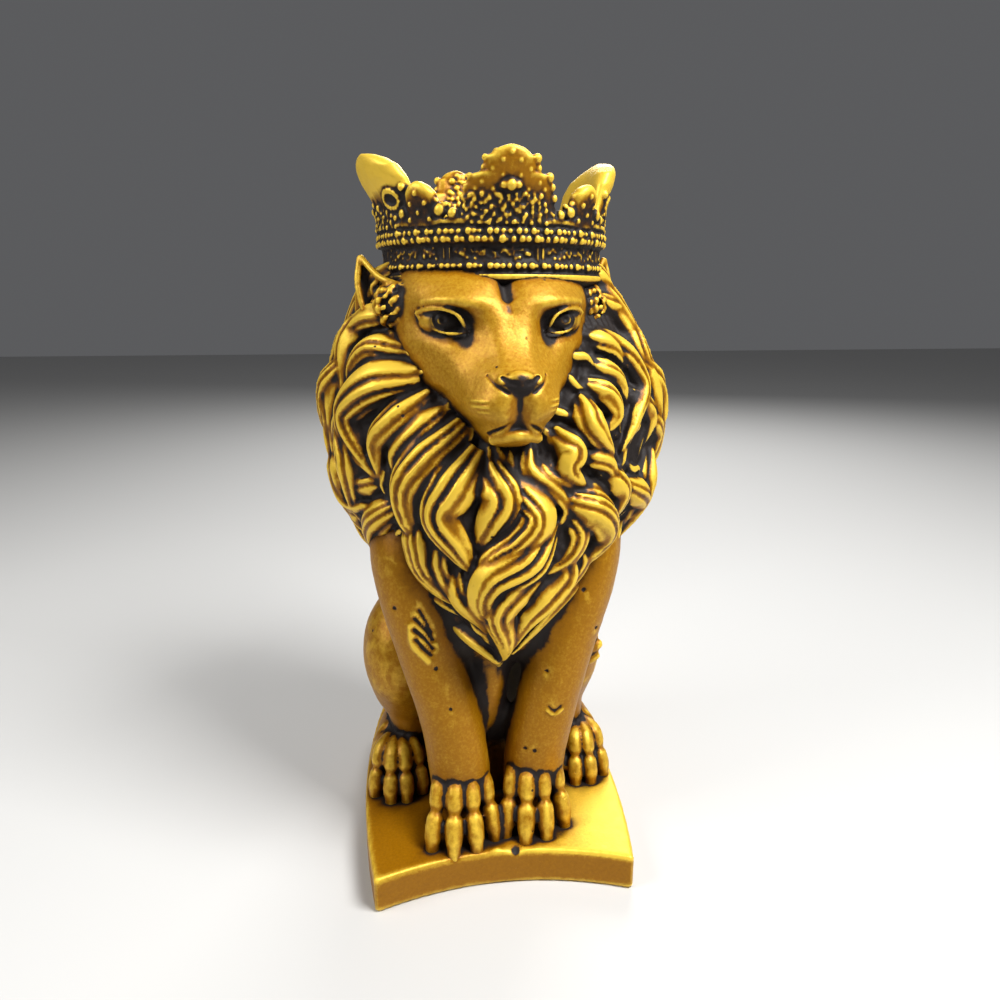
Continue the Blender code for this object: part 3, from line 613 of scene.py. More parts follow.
def back_locks(bm):
    """Rows of locks down the sides and back, swaying a little, with wisps between them."""
    stretch = 2 * (180 - BACK_START)
    for row, (height, drop, count, width) in enumerate(BACK_ROWS):
        for i in range(count):
            angle = BACK_START + stretch * (i + 0.5 * (row % 2)) / (count - 0.5)
            sway = BACK_SWAY * sin(1.1 * i + 2.2 * row) + 2 * sin(3.7 * i + row)
            fall = drop * (1 + 0.22 * sin(2.7 * i + 1.3 * row))
            points = (
                (angle - 0.4 * sway, height), (angle + sway, height - 0.35 * fall),
                (angle + 0.3 * sway, height - 0.7 * fall), (angle - 1.3 * sway, height - 1.15 * fall),
            )
            roll = copysign(LOCK_ROLL, sway)
            lock(bm, points, width, BACK_LIFT * (1 + 0.5 * sin(2.9 * i + row)), roll)
            for side in (-1, 1):
                thin = beside(points, side * WISP_SHIFT * width, WISP_SPREAD)
                lock(bm, thin[1:], WISP_WIDTH * width, BACK_LIFT, -roll, 26, 20)
    for i in range(BACK_WISPS):
        angle = BACK_START + stretch * ((i * GOLDEN_STEP) % 1)
        height = BACK_ROWS[0][0] + (BACK_ROWS[-1][0] - BACK_ROWS[0][0]) * (i + 0.5) / BACK_WISPS
        bend = 5 * sin(2.3 * i)
        points = [(angle + shift, height + rise) for shift, rise in ((0, 6), (bend, 0), (-bend, -6), (0, -14))]
        lock(bm, points, BACK_WISP_WIDTH * (1 + 0.4 * sin(1.9 * i)), GAP_WISP_LIFT, 0, 24, 20)


def face(bm):
    """The front of the head, a loft of its level sections, mirrored about the middle."""
    rows = np.array([[(x, y, height) for x, y in zip(widths, depths)] for height, widths, depths in FACE_ROWS])
    fine = curve_through(rows.reshape(len(rows), -1), FACE_LEVELS).reshape(FACE_LEVELS, -1, 3)
    loft(bm, [curve_through(np.vstack([half[:0:-1] * (-1, 1, 1), half]), FACE_SIDES) for half in fine])


def head_masses(bm):
    """Skull, face and brows, in the head's own frame."""
    ball(bm, (0, 2, -1), (24, 25, 20), sides=56)
    face(bm)
    for side in (-1, 1):
        ridge(bm, side, ((9, -26.6, 9.4), (12.5, -25.2, 10.3), (16, -22.6, 10.4), (19, -18.8, 9.8)), 0.9)


def ridge(bm, side, points, radius, count=18):
    """A round ridge through points of the right half of the head, or of the left for side -1."""
    stations = [(side * x, y, z, radius, radius) for x, y, z in points]
    limb(bm, stations, count=count, sides=14, across=(0, 0.3, 1))


def head_details(bm):
    """Eyes with lids, nose, lower lip and ears, on the softened masses of the head."""
    for side in (-1, 1):
        ball(bm, (side * 14, -18.6, 6), (5.4, 4.4, 3.4), turn=side * 24, sides=56)
        ridge(bm, side, UPPER_LID, 0.5)
        ridge(bm, side, LOWER_LID, 0.4)
        ball(bm, (side * 3.5, -37, -5.8), (1.5, 1.7, 1.2))
        ear(bm, side)
    ball(bm, (0, -37.6, -6.2), (3.6, 2, 2.4))
    lip = ((-5.4, -32.6, -19.4), (0, -36.2, -18), (5.4, -32.6, -19.4))
    limb(bm, [(*point, 1.3, 1.5) for point in lip], count=16, sides=14, across=(0, 0, 1))


def ear(bm, side):
    """A small upright ear, its rims raised round a hollow that faces forward."""
    shell = (
        (side * 27, 1.5, 5, 6, 2.4), (side * 28.4, 1.6, 12, 4.6, 1.8), (side * 30.6, 1, 20, 1, 1),
    )
    limb(bm, shell, count=16, sides=20)
    ridge(bm, side, ((30.6, -3, 7), (32, -1.4, 14), (31.1, 0.2, 20.8)), 0.8)
    rim = ((21, -12, 13.4), (24, -8, 14.4), (26.6, -5.2, 15.6), (28.6, -2.6, 17.6), (31.1, 0.2, 20.8))
    ridge(bm, side, rim, 0.8, count=30)
    (x, y, z), (wide, deep, tall) = EAR_TUFT
    ball(bm, (side * x, y, z), (4.8, 3.6, 4.8), turn=side * 40)
    for i in range(EAR_GRAINS):
        height = -0.98 + 1.9 * (i + 0.5) / EAR_GRAINS + 0.06 * sin(7.3 * i)
        turn = radians(side * 40 - 90) + 3 * (((i * GOLDEN_STEP) % 1) - 0.5)
        turn += 0.4 * sin(5.1 * i)
        flat = sqrt(1 - height**2)
        grain = (side * x + wide * flat * cos(turn), y + deep * flat * sin(turn), z + tall * height)
        ball(bm, grain, (0.62 + 0.34 * sin(2.7 * i),) * 3, sides=10)
    for i in range(9):
        x, height = 18.6 + 1.15 * i, 7.6 + 0.55 * i + 0.7 * sin(2.4 * i)
        y = -15.8 + 1.55 * i
        tuft = (
            (x - 0.6, y - 0.6, height + 2.6), (x + 0.7, y + 0.2, height + 1),
            (x, y - 0.2, height - 1.2), (x + 1, y + 0.6, height - 3),
        )
        ridge(bm, side, tuft, 0.85, count=12)


def press_face(made):
    """Iris rings, nostrils, philtrum, mouth and whisker lines, pressed into the head."""
    places = coordinates(made.data)
    back = np.tile((0, -1, 0), (len(places), 1))
    ways = normals(made.data)
    iris = np.linspace(0, 2 * pi, 13)
    for side in (-1, 1):
        eye = np.array((side * 14.2, -23.2, 6.3))
        ring = [eye + (1.9 * cos(a), side * 0.8 * cos(a), 1.9 * sin(a)) for a in iris]
        stroke(places, back, ring, 0.5, 0.5, count=24)
        dent(places, back, eye, (0.8, 2.5, 0.8), 0.6)
        stroke(places, ways, mirrored(side, ((9.2, -25.6, 3.8), (9.6, -26.4, 1.6))), 1.2, 0.4)
        nostril = ((1.4, -40, -6.6), (2.8, -39.6, -6.2), (4, -38.6, -5.2))
        stroke(places, back, mirrored(side, nostril), 0.9, 1.1)
        wing = ((6.4, -34.4, -5.2), (5, -37.2, -7), (2.4, -39.4, -8.8))
        stroke(places, back, mirrored(side, wing), 0.5, 0.6)
        mouth = ((0, -38, -15), (3.6, -36.8, -16.2), (6.6, -33, -18.2))
        stroke(places, back, mirrored(side, mouth), 0.5, 1)
        for row in range(4):
            height = -9 - 1.25 * row
            whisker = ((7, -38, height), (10.4, -33, height - 0.3))
            stroke(places, ways, mirrored(side, whisker), 0.4, -0.3)
    stroke(places, back, ((0, -41, -9), (0, -39.5, -15)), 0.6, 1.3)
    stroke(places, ways, ((-0.2, -20.5, 16), (0, -25.4, 11.4)), 1.5, 1.1)
    stroke(places, ways, ((0, -25, 12), (0.2, -27.5, 8.5)), 1.6, 0.4)
    uneven(places, ways)
    put_back(made.data, places)


def mirrored(side, points):
    return [(side * x, y, z) for x, y, z in points]


def torso(bm):
    ball(bm, (0, -6, 72), (27, 24, 30), tilt=-8)
    back = (
        (0, 2, 92, 25, 24), (0, 8, 68, 25.5, 26), (0, 14, 46, 25, 26.5), (0, 17, 26, 26, 24.5),
        (0, 17, 8, 25, 21), (0, 17, -FOOT_SINK, 24, 19),
    )
    limb(bm, back, count=30, sides=48)
    belly = (
        (-1, -14, 52, 8, 8), (-1.5, -15, 34, 5, 6), (-1, -6, 16, 8, 7), (-1, -2, -FOOT_SINK, 14, 9),
    )
    limb(bm, belly)


def front_legs(bm):
    left = (
        (-21, -8, 88, 12, 13), (-22.5, -17, 73, 9.6, 11), (-17.5, -21, 50, 8.4, 9),
        (-13.2, -22.5, 34, 8.2, 8.4), (-10.6, -22.5, 19, 8.6, 7.6), (-10.2, -21, 8, 8.4, 7),
        (-10.2, -20, -FOOT_SINK, 8.4, 7),
    )
    right = (
        (24, -6, 88, 12, 13), (24.5, -15, 73, 9.4, 11), (17.5, -19.5, 50, 8.8, 9),
        (13.6, -20.5, 34, 8.6, 8.4), (10.8, -20, 19, 8.8, 7.6), (10.6, -18.5, 8, 8.6, 7),
        (10.6, -17.5, -FOOT_SINK, 8.6, 7),
    )
    limb(bm, left, count=30, sides=32)
    limb(bm, right, count=30, sides=32)


def haunches(bm):
    for side in (-1, 1):
        ball(bm, (side * 19.5 - 1, 17, 32), (13.5, 20, 26), tilt=10, sides=56)
        ball(bm, (side * 23 - 1.3, 9.5, 37), (12.2, 18, 21.5), tilt=-8, sides=56)
        ball(bm, (side * 24.5 - 1.5, 4, 40.5), (11, 15, 17.5), tilt=-20, sides=56)
        ball(bm, (side * 24, 6, 18), (6, 9, 12), sides=40)
    ball(bm, (26.6, -10, 46), (4.4, 5.5, 6), sides=40)


def hind_feet(bm):
    for side in (-1, 1):
        foot = (
            (side * 25, 24, 7, 6, 8), (side * 26, 14, 8, 7.5, 9), (side * 27.2, 4, 8, 8.2, 8.5),
        )
        limb(bm, foot)
        ball(bm, (side * 25, 24.5, 6), (6, 6, 7.4))
        ball(bm, (side * 27.6, 2, 6.5), (8.6, 7.5, 8.2))


def tail(bm):
    """From the rump down to the plinth and forward along the right haunch, to a small tuft."""
    stations = (
        (0, 36, 20, 4.2, 4.2), (5, 39.5, 9, 3.6, 3.6), (14, 38.5, 3, 3.2, 3.2), (24, 35, 2.4, 3.2, 3.2),
        (31, 29, 2.8, 4.4, 4.2), (34, 20, 2.2, 1.4, 1.4),
    )
    limb(bm, stations, count=40, across=(0, 0, 1))


def toe(bm, heel, tip, knuckle_height, radius):
    """A long bent toe: a knuckle, two finger-like segments with a crease between, and a claw."""
    run = tip - heel[:2]
    stations = []
    for along, height, girth in (
        (0.35, heel[2] / knuckle_height, 0.9), (0.58, 1.06, 1.04), (0.72, 0.96, 1.12), (0.83, 0.74, 1),
        (0.875, 0.61, 0.70), (0.92, 0.52, 0.98), (0.985, 0.34, 1.04), (1.03, 0.18, 0.96),
        (1.055, 0.08, 0.78),
    ):
        stations.append((*(heel[:2] + along * run), height * knuckle_height, girth * radius, girth * radius))
    stations.append((*(heel[:2] + 1.055 * run), -FOOT_SINK, 0.8 * radius, 0.8 * radius))
    limb(bm, stations, count=32, sides=16)


def paws(bm):
    """Four toes on each foot, longer on the front ones."""
    left_tips = ((-18.2, -32), (-12.9, -34.5), (-7.2, -33.5), (-2.2, -30))
    right_tips = ((1.8, -29), (6.6, -32), (12.2, -31), (17.6, -27))
    for heel, tips in (((-10.2, -14, 17), left_tips), ((10.8, -11, 17), right_tips)):
        for tip in tips:
            toe(bm, np.array(heel), np.array(tip), 15, 2.35)
    for side, forward in ((-1, 0), (1, 2)):
        heel = np.array((side * 27.5, 5 + forward, 13))
        for off in HIND_TOES:
            tip = np.array((side * (27.5 + off), -11.5 + forward + 0.09 * off**2))
            toe(bm, heel, tip, 12, 2.3)


def knee_tuft(bm):
    """Three short points of hair behind the right front leg."""
    for x, z in ((29.6, 49.4), (31, 46.2), (30.2, 42.8)):
        limb(bm, ((24, -12, z - 1.6, 1.8, 1.8), (x - 2.4, -12.6, z, 1.9, 1.9), (x, -12.6, z + 0.8, 1, 1)))


def body_piece():
    masses = carved("body_masses", 1, 44, (torso, front_legs, haunches))
    extremities = carved("body_extremities", 0.8, 5, (hind_feet, tail))
    made = carved("lion_body", BODY_VOXEL, 1, (paws, knee_tuft), (masses, extremities))
    places, ways = coordinates(made.data), normals(made.data)
    for points, width, depth in BODY_FOLDS:
        front_stroke(places, ways, points, width, depth)
    for x, height in BODY_PITS:
        front_stroke(places, ways, ((x, height), (x + 0.1, height)), PIT_RADIUS, PIT_DEPTH)
    uneven(places, ways)
    put_back(made.data, places)
    return lighter(made, BODY_TRIANGLES)


def face_piece():
    masses = carved("head_masses", 0.7, 8, (head_masses,))
    made = carved("lion_face", FACE_VOXEL, 2, (head_details,), (masses,))
    press_face(made)
    place = Matrix.Translation(Vector(HEAD_PLACE)) @ Matrix.Rotation(radians(HEAD_TURN), 4, "Z")
    made.data.transform(place)
    return lighter(made, FACE_TRIANGLES)


def mane_piece():
    made = carved("lion_mane", MANE_VOXEL, 0, (mane_core, gap_wisps, front_locks, back_locks))
    return lighter(made, MANE_TRIANGLES)


def turned(outline, steps, name):
    """A closed ring or dish turned about Z from an outline in X and Z."""
    bm = bmesh.new()
    corners = [bm.verts.new((x, 0, z)) for x, z in outline]
    for first, second in zip(corners, corners[1:]):
        bm.edges.new((first, second))
    made = object_from(bm, name)
    turn = made.modifiers.new("turn", "SCREW")
    turn.steps = steps
    turn.render_steps = steps
    turn.use_merge_vertices = True
    turn.merge_threshold = 0.0001
    return baked(made)


def crown_band():
    outline = (
        (0, CROWN_FLOOR), (BAND_RADIUS - CROWN_WALL, CROWN_FLOOR), (RIM_RADIUS - CROWN_WALL, LIP_TOP),
        (RIM_RADIUS + 0.3, LIP_TOP), (RIM_RADIUS + 0.3, LIP_TOP - 0.9),
        (RIM_RADIUS - 0.9, RIM_TOP + 0.4), (RIM_RADIUS - 0.1, RIM_TOP), (RIM_RADIUS - 0.1, RIM_FOOT),
        (BAND_RADIUS, RIM_FOOT - 0.6), (BAND_RADIUS, BEAD_TOP + 0.6), (BEAD_RADIUS, BEAD_TOP),
        (BEAD_RADIUS - 0.2, BEAD_FOOT), (BEAD_RADIUS + 0.7, BEAD_FOOT - 0.4),
        (BEAD_RADIUS + 0.7, LINE_FOOT), (BAND_RADIUS - FOOT_SETBACK, BAND_FOOT), (0, BAND_FOOT),
    )
    return turned(outline, 160, "crown_band")


def round_band(angle, height, radius):
    """A point at an angle round from the crown's front."""
    return (radius * sin(angle), -radius * cos(angle), height)


class Leaf:
    """An upright leaf of the crown, curved round the band, leaning outward and swelling upwards."""

    def __init__(self, degrees, top, lean, half_width, thickness, steps):
        self.degrees, self.top, self.lean = degrees, top, lean
        self.half_width, self.thickness = half_width, thickness
        self.heights, self.widths = zip(*steps)

    def half_thickness(self, rise):
        swell = np.clip((rise - 0.25) / 0.4, 0, 1)
        thick = LEAF_FOOT_THICKNESS + (self.thickness - LEAF_FOOT_THICKNESS) * swell
        return 0.5 * thick * sqrt(1 - np.clip((rise - 0.72) / 0.3, 0, 1) ** 2)

    def point(self, rise, across, out):
        """A point at a share of the rise and of the half width; out 1 is the outer face, -1 the inner."""
        outer = RIM_RADIUS + 0.3 + self.lean * rise**1.4
        half = self.half_thickness(rise)
        risen = min(1, 2.2 * rise)
        radius = outer - 0.5 * self.thickness * risen - half * (1 - risen) + out * half
        width = self.half_width * np.interp(rise, self.heights, self.widths)
        angle = radians(self.degrees) + across * width / (RIM_RADIUS + self.lean * rise)
        return round_band(angle, FLEURON_FOOT + (self.top - FLEURON_FOOT) * rise, radius)

    def body(self, bm):
        turns = circle(48)
        flat = np.copysign(np.abs(np.cos(turns)) ** 0.6, np.cos(turns))
        section = list(zip(flat, np.sin(turns)))
        loft(bm, [[self.point(rise, across, out) for across, out in section] for rise in np.linspace(0, 1, 56)])

    def dot(self, bm, rise, across, size, face=1):
        out = face * sqrt(max(0, 1 - abs(across) ** 3.1))
        ball(bm, self.point(rise, across, out), (size,) * 3, sides=14)


def grains(bm, leaf, rows, count, size, face=1):
    """Uneven rows of grains over the outer face of a leaf, or the inner one for face -1."""
    for row, rise in enumerate(rows):
        for i in range(count - row // 2):
            across = -0.9 + 1.8 * (i + 0.5 * (row % 2) + 0.35 * sin(5 * i + 2 * row)) / (count - 0.5)
            lift = 0.012 * sin(3.1 * i + 1.7 * row)
            leaf.dot(bm, rise + lift, across, size * (1 + 0.35 * sin(2.3 * i + 3.7 * row)), face)


def fleuron_ornament(bm, leaf):
    """Grains at a fleuron's foot, a lozenge in its middle and dots round about and on its edge."""
    grains(bm, leaf, np.arange(0.03, 0.42, 0.05), 18, 0.46)
    grains(bm, leaf, np.arange(0.1, 0.96, 0.08), 13, 0.75, -1)
    for across, size in ((-0.14, 0.9), (0, 1.35), (0.14, 0.9)):
        leaf.dot(bm, 0.5, across, size)
    for rise, across in ((0.45, 0.35), (0.46, 0.72), (0.54, 0.62), (0.62, 0.2), (0.7, 0.62), (0.8, 0.3)):
        for side in (-1, 1):
            leaf.dot(bm, rise, side * across, 0.36)
    edge = ((0.36, 0.97, 0.8), (0.5, 0.97, 0.7), (0.62, 0.97, 0.9), (0.72, 0.96, 0.7), (0.84, 0.97, 0.9))
    for rise, across, size in edge:
        for side in (-1, 1):
            leaf.dot(bm, rise, side * across, size * (1 + 0.2 * side))
    leaf.dot(bm, 0.9, 0, 0.4)


def petal_ornament(bm, leaf):
    """Grains and curls at a petal's foot, under the smooth tongue."""
    grains(bm, leaf, (0.03, 0.1, 0.17, 0.24), 18, 0.55)
    front = 1 if leaf.degrees > 180 else -1
    for turn in np.linspace(0.3, 1.9 * pi, 15):
        across = front * (0.6 + 0.17 * cos(turn))
        leaf.dot(bm, 0.37 + 0.11 * sin(turn), across, 0.8)
    knobs = ((0.5, 0.9, 0.9), (0.3, 0.1, 1), (0.36, -0.2, 0.8), (0.3, -0.55, 1.2), (0.4, -0.85, 1))
    for rise, across, size in knobs:
        leaf.dot(bm, rise, front * across, size)


def bud_ornament(bm, leaf):
    for rise, across in ((0.15, -0.5), (0.15, 0.5), (0.3, 0), (0.5, -0.45), (0.5, 0.45), (0.72, 0)):
        leaf.dot(bm, rise, across, 0.6)


def crown_beads(bm):
    """Three rows of beads, and knobs on the lip beside each bud."""
    rows = ((BEAD_RADIUS + 0.1, 1.9, 0), (RIM_RADIUS, 9.3, 0), (RIM_RADIUS, 7.7, 0.5))
    for radius, height, shift in rows:
        for i in range(BEAD_COUNT):
            wobble = 0.6 * sin(2.7 * i + 9 * shift) * sin(0.61 * i) + 0.3 * sin(7.9 * i)
            place = round_band(2 * pi * (i + shift + 0.4 * wobble) / BEAD_COUNT, height, radius)
            ball(bm, place, (BEAD_SIZE * (1 + 0.4 * wobble),) * 3, sides=12)
    for degrees, *_ in BUDS:
        for off, height, size in ((-16, 12.9, 1.2), (-10.5, 13.6, 1.5), (10.5, 13.8, 1.6), (16.5, 13, 1.3)):
            ball(bm, round_band(radians(degrees + off), height, LIP_RADIUS), (size,) * 3, sides=18)
            ball(bm, round_band(radians(degrees + 0.8 * off), height + 1.9, LIP_RADIUS), (0.75,) * 3)


def crown_scrolls(bm):
    """Panels round the band, framed by uprights, each filled by rough curls and buds."""
    middle = 0.5 * (RIM_FOOT + BEAD_TOP)
    span = 2 * pi / PANEL_COUNT
    levels = (RIM_FOOT, middle, BEAD_TOP)
    for panel in range(PANEL_COUNT):
        start = panel * span + 0.12
        for edge in (start, start + 0.05):
            upright = [(*round_band(edge, z, BAND_RADIUS + 0.1), 0.45, 0.45) for z in levels]
            limb(bm, upright, count=6, sides=10)
        for i in range(9):
            share = 0.15 + 0.09 * i + 0.01 * sin(3.3 * i + panel)
            height = middle + 0.75 * sin(2.2 * i + 1.3 * panel)
            curl = []
            for turn in np.linspace(0, 1.25 * pi, 9):
                angle = start + share * span + 0.034 * cos(turn + i) * (1 - 0.1 * turn)
                rise = height + 0.95 * sin(turn + i) * (1 - 0.1 * turn)
                curl.append((*round_band(angle, rise, BAND_RADIUS), 0.42, 0.42))
            limb(bm, curl, count=18, sides=8, across=(0, 0, 1))
            for k in range(3):
                angle = start + (share + 0.03 * k) * span
                rise = middle + 1.5 * sin(1.9 * i + 2.6 * k + panel)
                ball(bm, round_band(angle, rise, BAND_RADIUS), (0.5 + 0.15 * sin(i + k),) * 3, sides=12)


def crown_leaves(bm):
    kinds = (
        (FLEURONS, FLEURON_STEPS, fleuron_ornament), (PETALS, PETAL_STEPS, petal_ornament),
        (BUDS, BUD_STEPS, bud_ornament),
    )
    for placings, steps, ornament in kinds:
        for placing in placings:
            leaf = Leaf(*placing, steps)
            leaf.body(bm)
            ornament(bm, leaf)


def crown_piece():
    parts = (crown_leaves, crown_beads, crown_scrolls)
    made = carved("lion_crown", CROWN_VOXEL, 1, parts, (crown_band(),))
    turn = Matrix.Rotation(radians(CROWN_TURN), 4, "Z")
    made.data.transform(Matrix.Translation(Vector(CROWN_PLACE)) @ turn)
    return lighter(made, CROWN_TRIANGLES)


def arc_points(start, end, bow, count=24):
    """Points from start towards end on a shallow arc that bows sideways, without the end itself."""
    start, end = np.asarray(start), np.asarray(end)
    along = end - start
    across = np.array([along[1], -along[0]]) / np.linalg.norm(along)
    steps = np.linspace(0, 1, count, endpoint=False)
    return [start + along * t + across * bow * (1 - (2 * t - 1) ** 2) for t in steps]


def plinth_piece():
    """A hollowed front edge, sides that belly out and a straight back, its top edge worn round."""
    x, y = PLINTH_WIDTH / 2, PLINTH_DEPTH / 2
    corners = ((-x, -y), (x, -y), (x, y), (-x, y))
    outline = arc_points(corners[0], corners[1], -PLINTH_HOLLOW)
    outline += arc_points(corners[1], corners[2], PLINTH_BULGE)
    outline += arc_points(corners[2], corners[3], 0)
    outline += arc_points(corners[3], corners[0], PLINTH_BULGE)
    bm = bmesh.new()
    bottom = bm.faces.new([bm.verts.new((px, py, 0)) for px, py in outline])
    grown = bmesh.ops.extrude_face_region(bm, geom=[bottom])
    raised = [item for item in grown["geom"] if isinstance(item, bmesh.types.BMVert)]
    bmesh.ops.translate(bm, verts=raised, vec=(0, 0, PLINTH_HEIGHT))
    made = object_from(bm, "lion_plinth")
    bevel = made.modifiers.new("worn_edge", "BEVEL")
    bevel.width = PLINTH_EDGE
    bevel.segments = 3
    bevel.limit_method = "ANGLE"
    one_skin(made, PLINTH_VOXEL)
    baked(made)
    places = coordinates(made.data)
    for centre, depth in PLINTH_MARKS:
        reach = np.hypot(*(places[:, :2] - centre).T) / PLINTH_MARK_RADIUS
        places[:, 2] -= depth * np.exp(-(reach**2)) * (places[:, 2] > 0.5 * PLINTH_HEIGHT)
    put_back(made.data, places)
    return made


def spread(values, ends, rounds, pull=0.5):
    """Values pulled towards the mean of their neighbours over the mesh's edges."""
    degree = np.maximum(np.bincount(ends.ravel(), minlength=len(values)), 1)
    for _ in range(rounds):
        pulled = np.concatenate([values[ends[:, 1]], values[ends[:, 0]]])
        total = np.bincount(np.concatenate([ends[:, 0], ends[:, 1]]), pulled, len(values))
        values = values + pull * (total / degree - values)
    return values


def smoothed_shift(places, ends, rounds):
    """How far each point moves when the mesh is smoothed over its edges."""
    return np.stack([spread(axis, ends, rounds, SMOOTH_PULL) for axis in places.T], axis=1) - places


def sky_directions(count):
    """Evenly spread directions in a cone about +Z."""
    found = []
    for i in range(count):
        height = 0.25 + 0.7 * (i + 0.5) / count
        angle = i * pi * (3 - sqrt(5))
        flat = sqrt(1 - height**2)
        found.append((flat * cos(angle), flat * sin(angle), height))
    return np.array(found)


def shelter(places, ways, tree):
    """Share of the air in front of each point that other parts of the figure close off."""
    helper = np.where(np.abs(ways[:, 2:3]) < 0.9, (0, 0, 1), (1, 0, 0))
    side = np.cross(helper, ways)
    side /= np.maximum(np.linalg.norm(side, axis=1), 1e-9)[:, None]
    up = np.cross(ways, side)
    starts = places + AIR_GAP * ways
    closed = np.zeros(len(places))
    for x, y, z in sky_directions(AIR_RAYS):
        aims = x * side + y * up + z * ways
        for i, (start, aim) in enumerate(zip(starts.tolist(), aims.tolist())):
            distance = tree.ray_cast(start, aim, AIR_REACH)[3]
            if distance is not None:
                closed[i] += 1 - distance / AIR_REACH
    return closed / AIR_RAYS


def soft_spots(places, spots):
    """Sum of soft-edged spots, each with a centre, radii along X, Y and Z and an amount."""
    total = np.zeros(len(places))
    for centre, radii, amount in spots:
        reach = np.linalg.norm((places - centre) / radii, axis=1)
        total += amount * np.exp(-1.5 * reach**4)
    return total


def painted_dark(name, places):
    """Dark base left on the crown's band, in the mane's gaps, the eyes and other places."""
    dark = np.zeros(len(places))
    if name == "lion_crown":
        rise = places[:, 2] - PLINTH_HEIGHT - SHARE * CROWN_PLACE[2]
        dark += np.interp(rise, CROWN_DARK_RISE, CROWN_DARK)
    if name == "lion_mane":
        x, y, height = (places / SHARE - (0, 0, PLINTH_HEIGHT / SHARE)).T
        middle, width, front, back = core_section(height)
        depth = np.abs(np.where(y < 0, front, back)) + 0.01
        lift = (np.hypot((x - middle) / width, y / depth) - 1) * 0.5 * (width + depth)
        reach = GAP_LIFT + np.interp(x, (6, 16), (0, 0.9)) * (y < 0)
        dark += GAP_DARK * np.clip((reach - lift) / GAP_DEPTH, 0, 1)
    if name == "lion_plinth":
        reach = np.hypot(*(places[:, :2] - PLINTH_MARKS[0][0]).T) / PLINTH_MARK_RADIUS
        dark += 0.7 * np.exp(-(reach**4)) * (places[:, 2] > 0.8 * PLINTH_HEIGHT)
    if name == "lion_body":
        local = places / SHARE - (0, 0, PLINTH_HEIGHT / SHARE)
        dark += soft_spots(local, BODY_DARK)
        for x, height in BODY_PITS:
            reach = np.hypot(local[:, 0] - x, local[:, 2] - height) / PIT_RADIUS
            dark += 0.6 * np.exp(-(reach**2)) * (local[:, 1] < -10)
    if name == "lion_face":
        turn = radians(-HEAD_TURN)
        local = places / SHARE - np.array((*HEAD_PLACE[:2], HEAD_PLACE[2] + PLINTH_HEIGHT / SHARE))
        x = local[:, 0] * cos(turn) - local[:, 1] * sin(turn)
        y = local[:, 0] * sin(turn) + local[:, 1] * cos(turn)
        dark += soft_spots(np.stack([np.abs(x), y, local[:, 2]], axis=1), FACE_DARK)
    return dark


def rubbed_gold_and_painted_highlight(name, places):
    """Brighter paint: rubbed gold with a painted highlight on the tongues of the crown's side petals, and a
    painted reflection on the right of the plinth's top.
    """
    # Painted reflection: the right of the plinth's top is made brighter where light glances off it.
    if name == "lion_plinth":
        top = places[:, 2] > 0.9 * PLINTH_HEIGHT
        return top * np.interp(places[:, 0], (-0.010, 0.026), (0, 0.5))
    if name != "lion_crown":
        return 0
    # Partly rubbed gold, partly a painted highlight: the tongues of the crown's side petals are made brighter.
    rise = places[:, 2] - PLINTH_HEIGHT - SHARE * CROWN_PLACE[2]
    outward = np.abs(places[:, 0] - SHARE * CROWN_PLACE[0])
    return np.interp(rise, (0.017, 0.023), (0, 1)) * np.interp(outward, (0.016, 0.021), (0, 1))


def add_patina(pieces):
    """Stores where dark patina lies and where paint is rubbed bright, painted highlights and a painted
    reflection included, as point attributes.
    """
    corners, faces = [], []
    for piece in pieces:
        first = len(corners)
        corners += coordinates(piece.data).tolist()
        faces += [[first + i for i in face.vertices] for face in piece.data.polygons]
    tree = BVHTree.FromPolygons(corners, faces)
    for piece in pieces:
        mesh = piece.data
        places, ways = coordinates(mesh), normals(mesh)
        ends = np.empty(2 * len(mesh.edges), dtype=np.int32)
        mesh.edges.foreach_get("vertices", ends)
        ends = ends.reshape(-1, 2)
        closed = spread(shelter(places, ways, tree), ends, 2)
        fine = (smoothed_shift(places, ends, 4) * ways).sum(axis=1) / FINE_HOLLOW
        broad = (smoothed_shift(places, ends, 30) * ways).sum(axis=1) / BROAD_HOLLOW
        hollow = spread(np.clip(0.8 * fine + 0.8 * broad, -1, 1), ends, 1)
        of_fine, of_broad, level, sheltered, hollowed, still = RUBBED[piece.name]
        proud = spread(np.clip(-of_fine * fine - of_broad * broad, -1, 1), ends, 1)
        proud = np.sign(proud) * np.maximum(np.abs(proud) - still, 0)
        recess = sheltered * closed + hollowed * hollow + painted_dark(piece.name, places)
        recess = np.clip(recess, 0, 1)
        # Rubbed gold of proud parts, with the painted highlights and the painted reflection added on top.
        crest_and_highlight = np.clip(proud + level - closed + rubbed_gold_and_painted_highlight(piece.name, places), 0, 1)
        for name, values in (("recess", recess), ("crest_and_highlight", crest_and_highlight)):
            mesh.attributes.new(name, "FLOAT", "POINT").data.foreach_set("value", values.astype(np.float32))


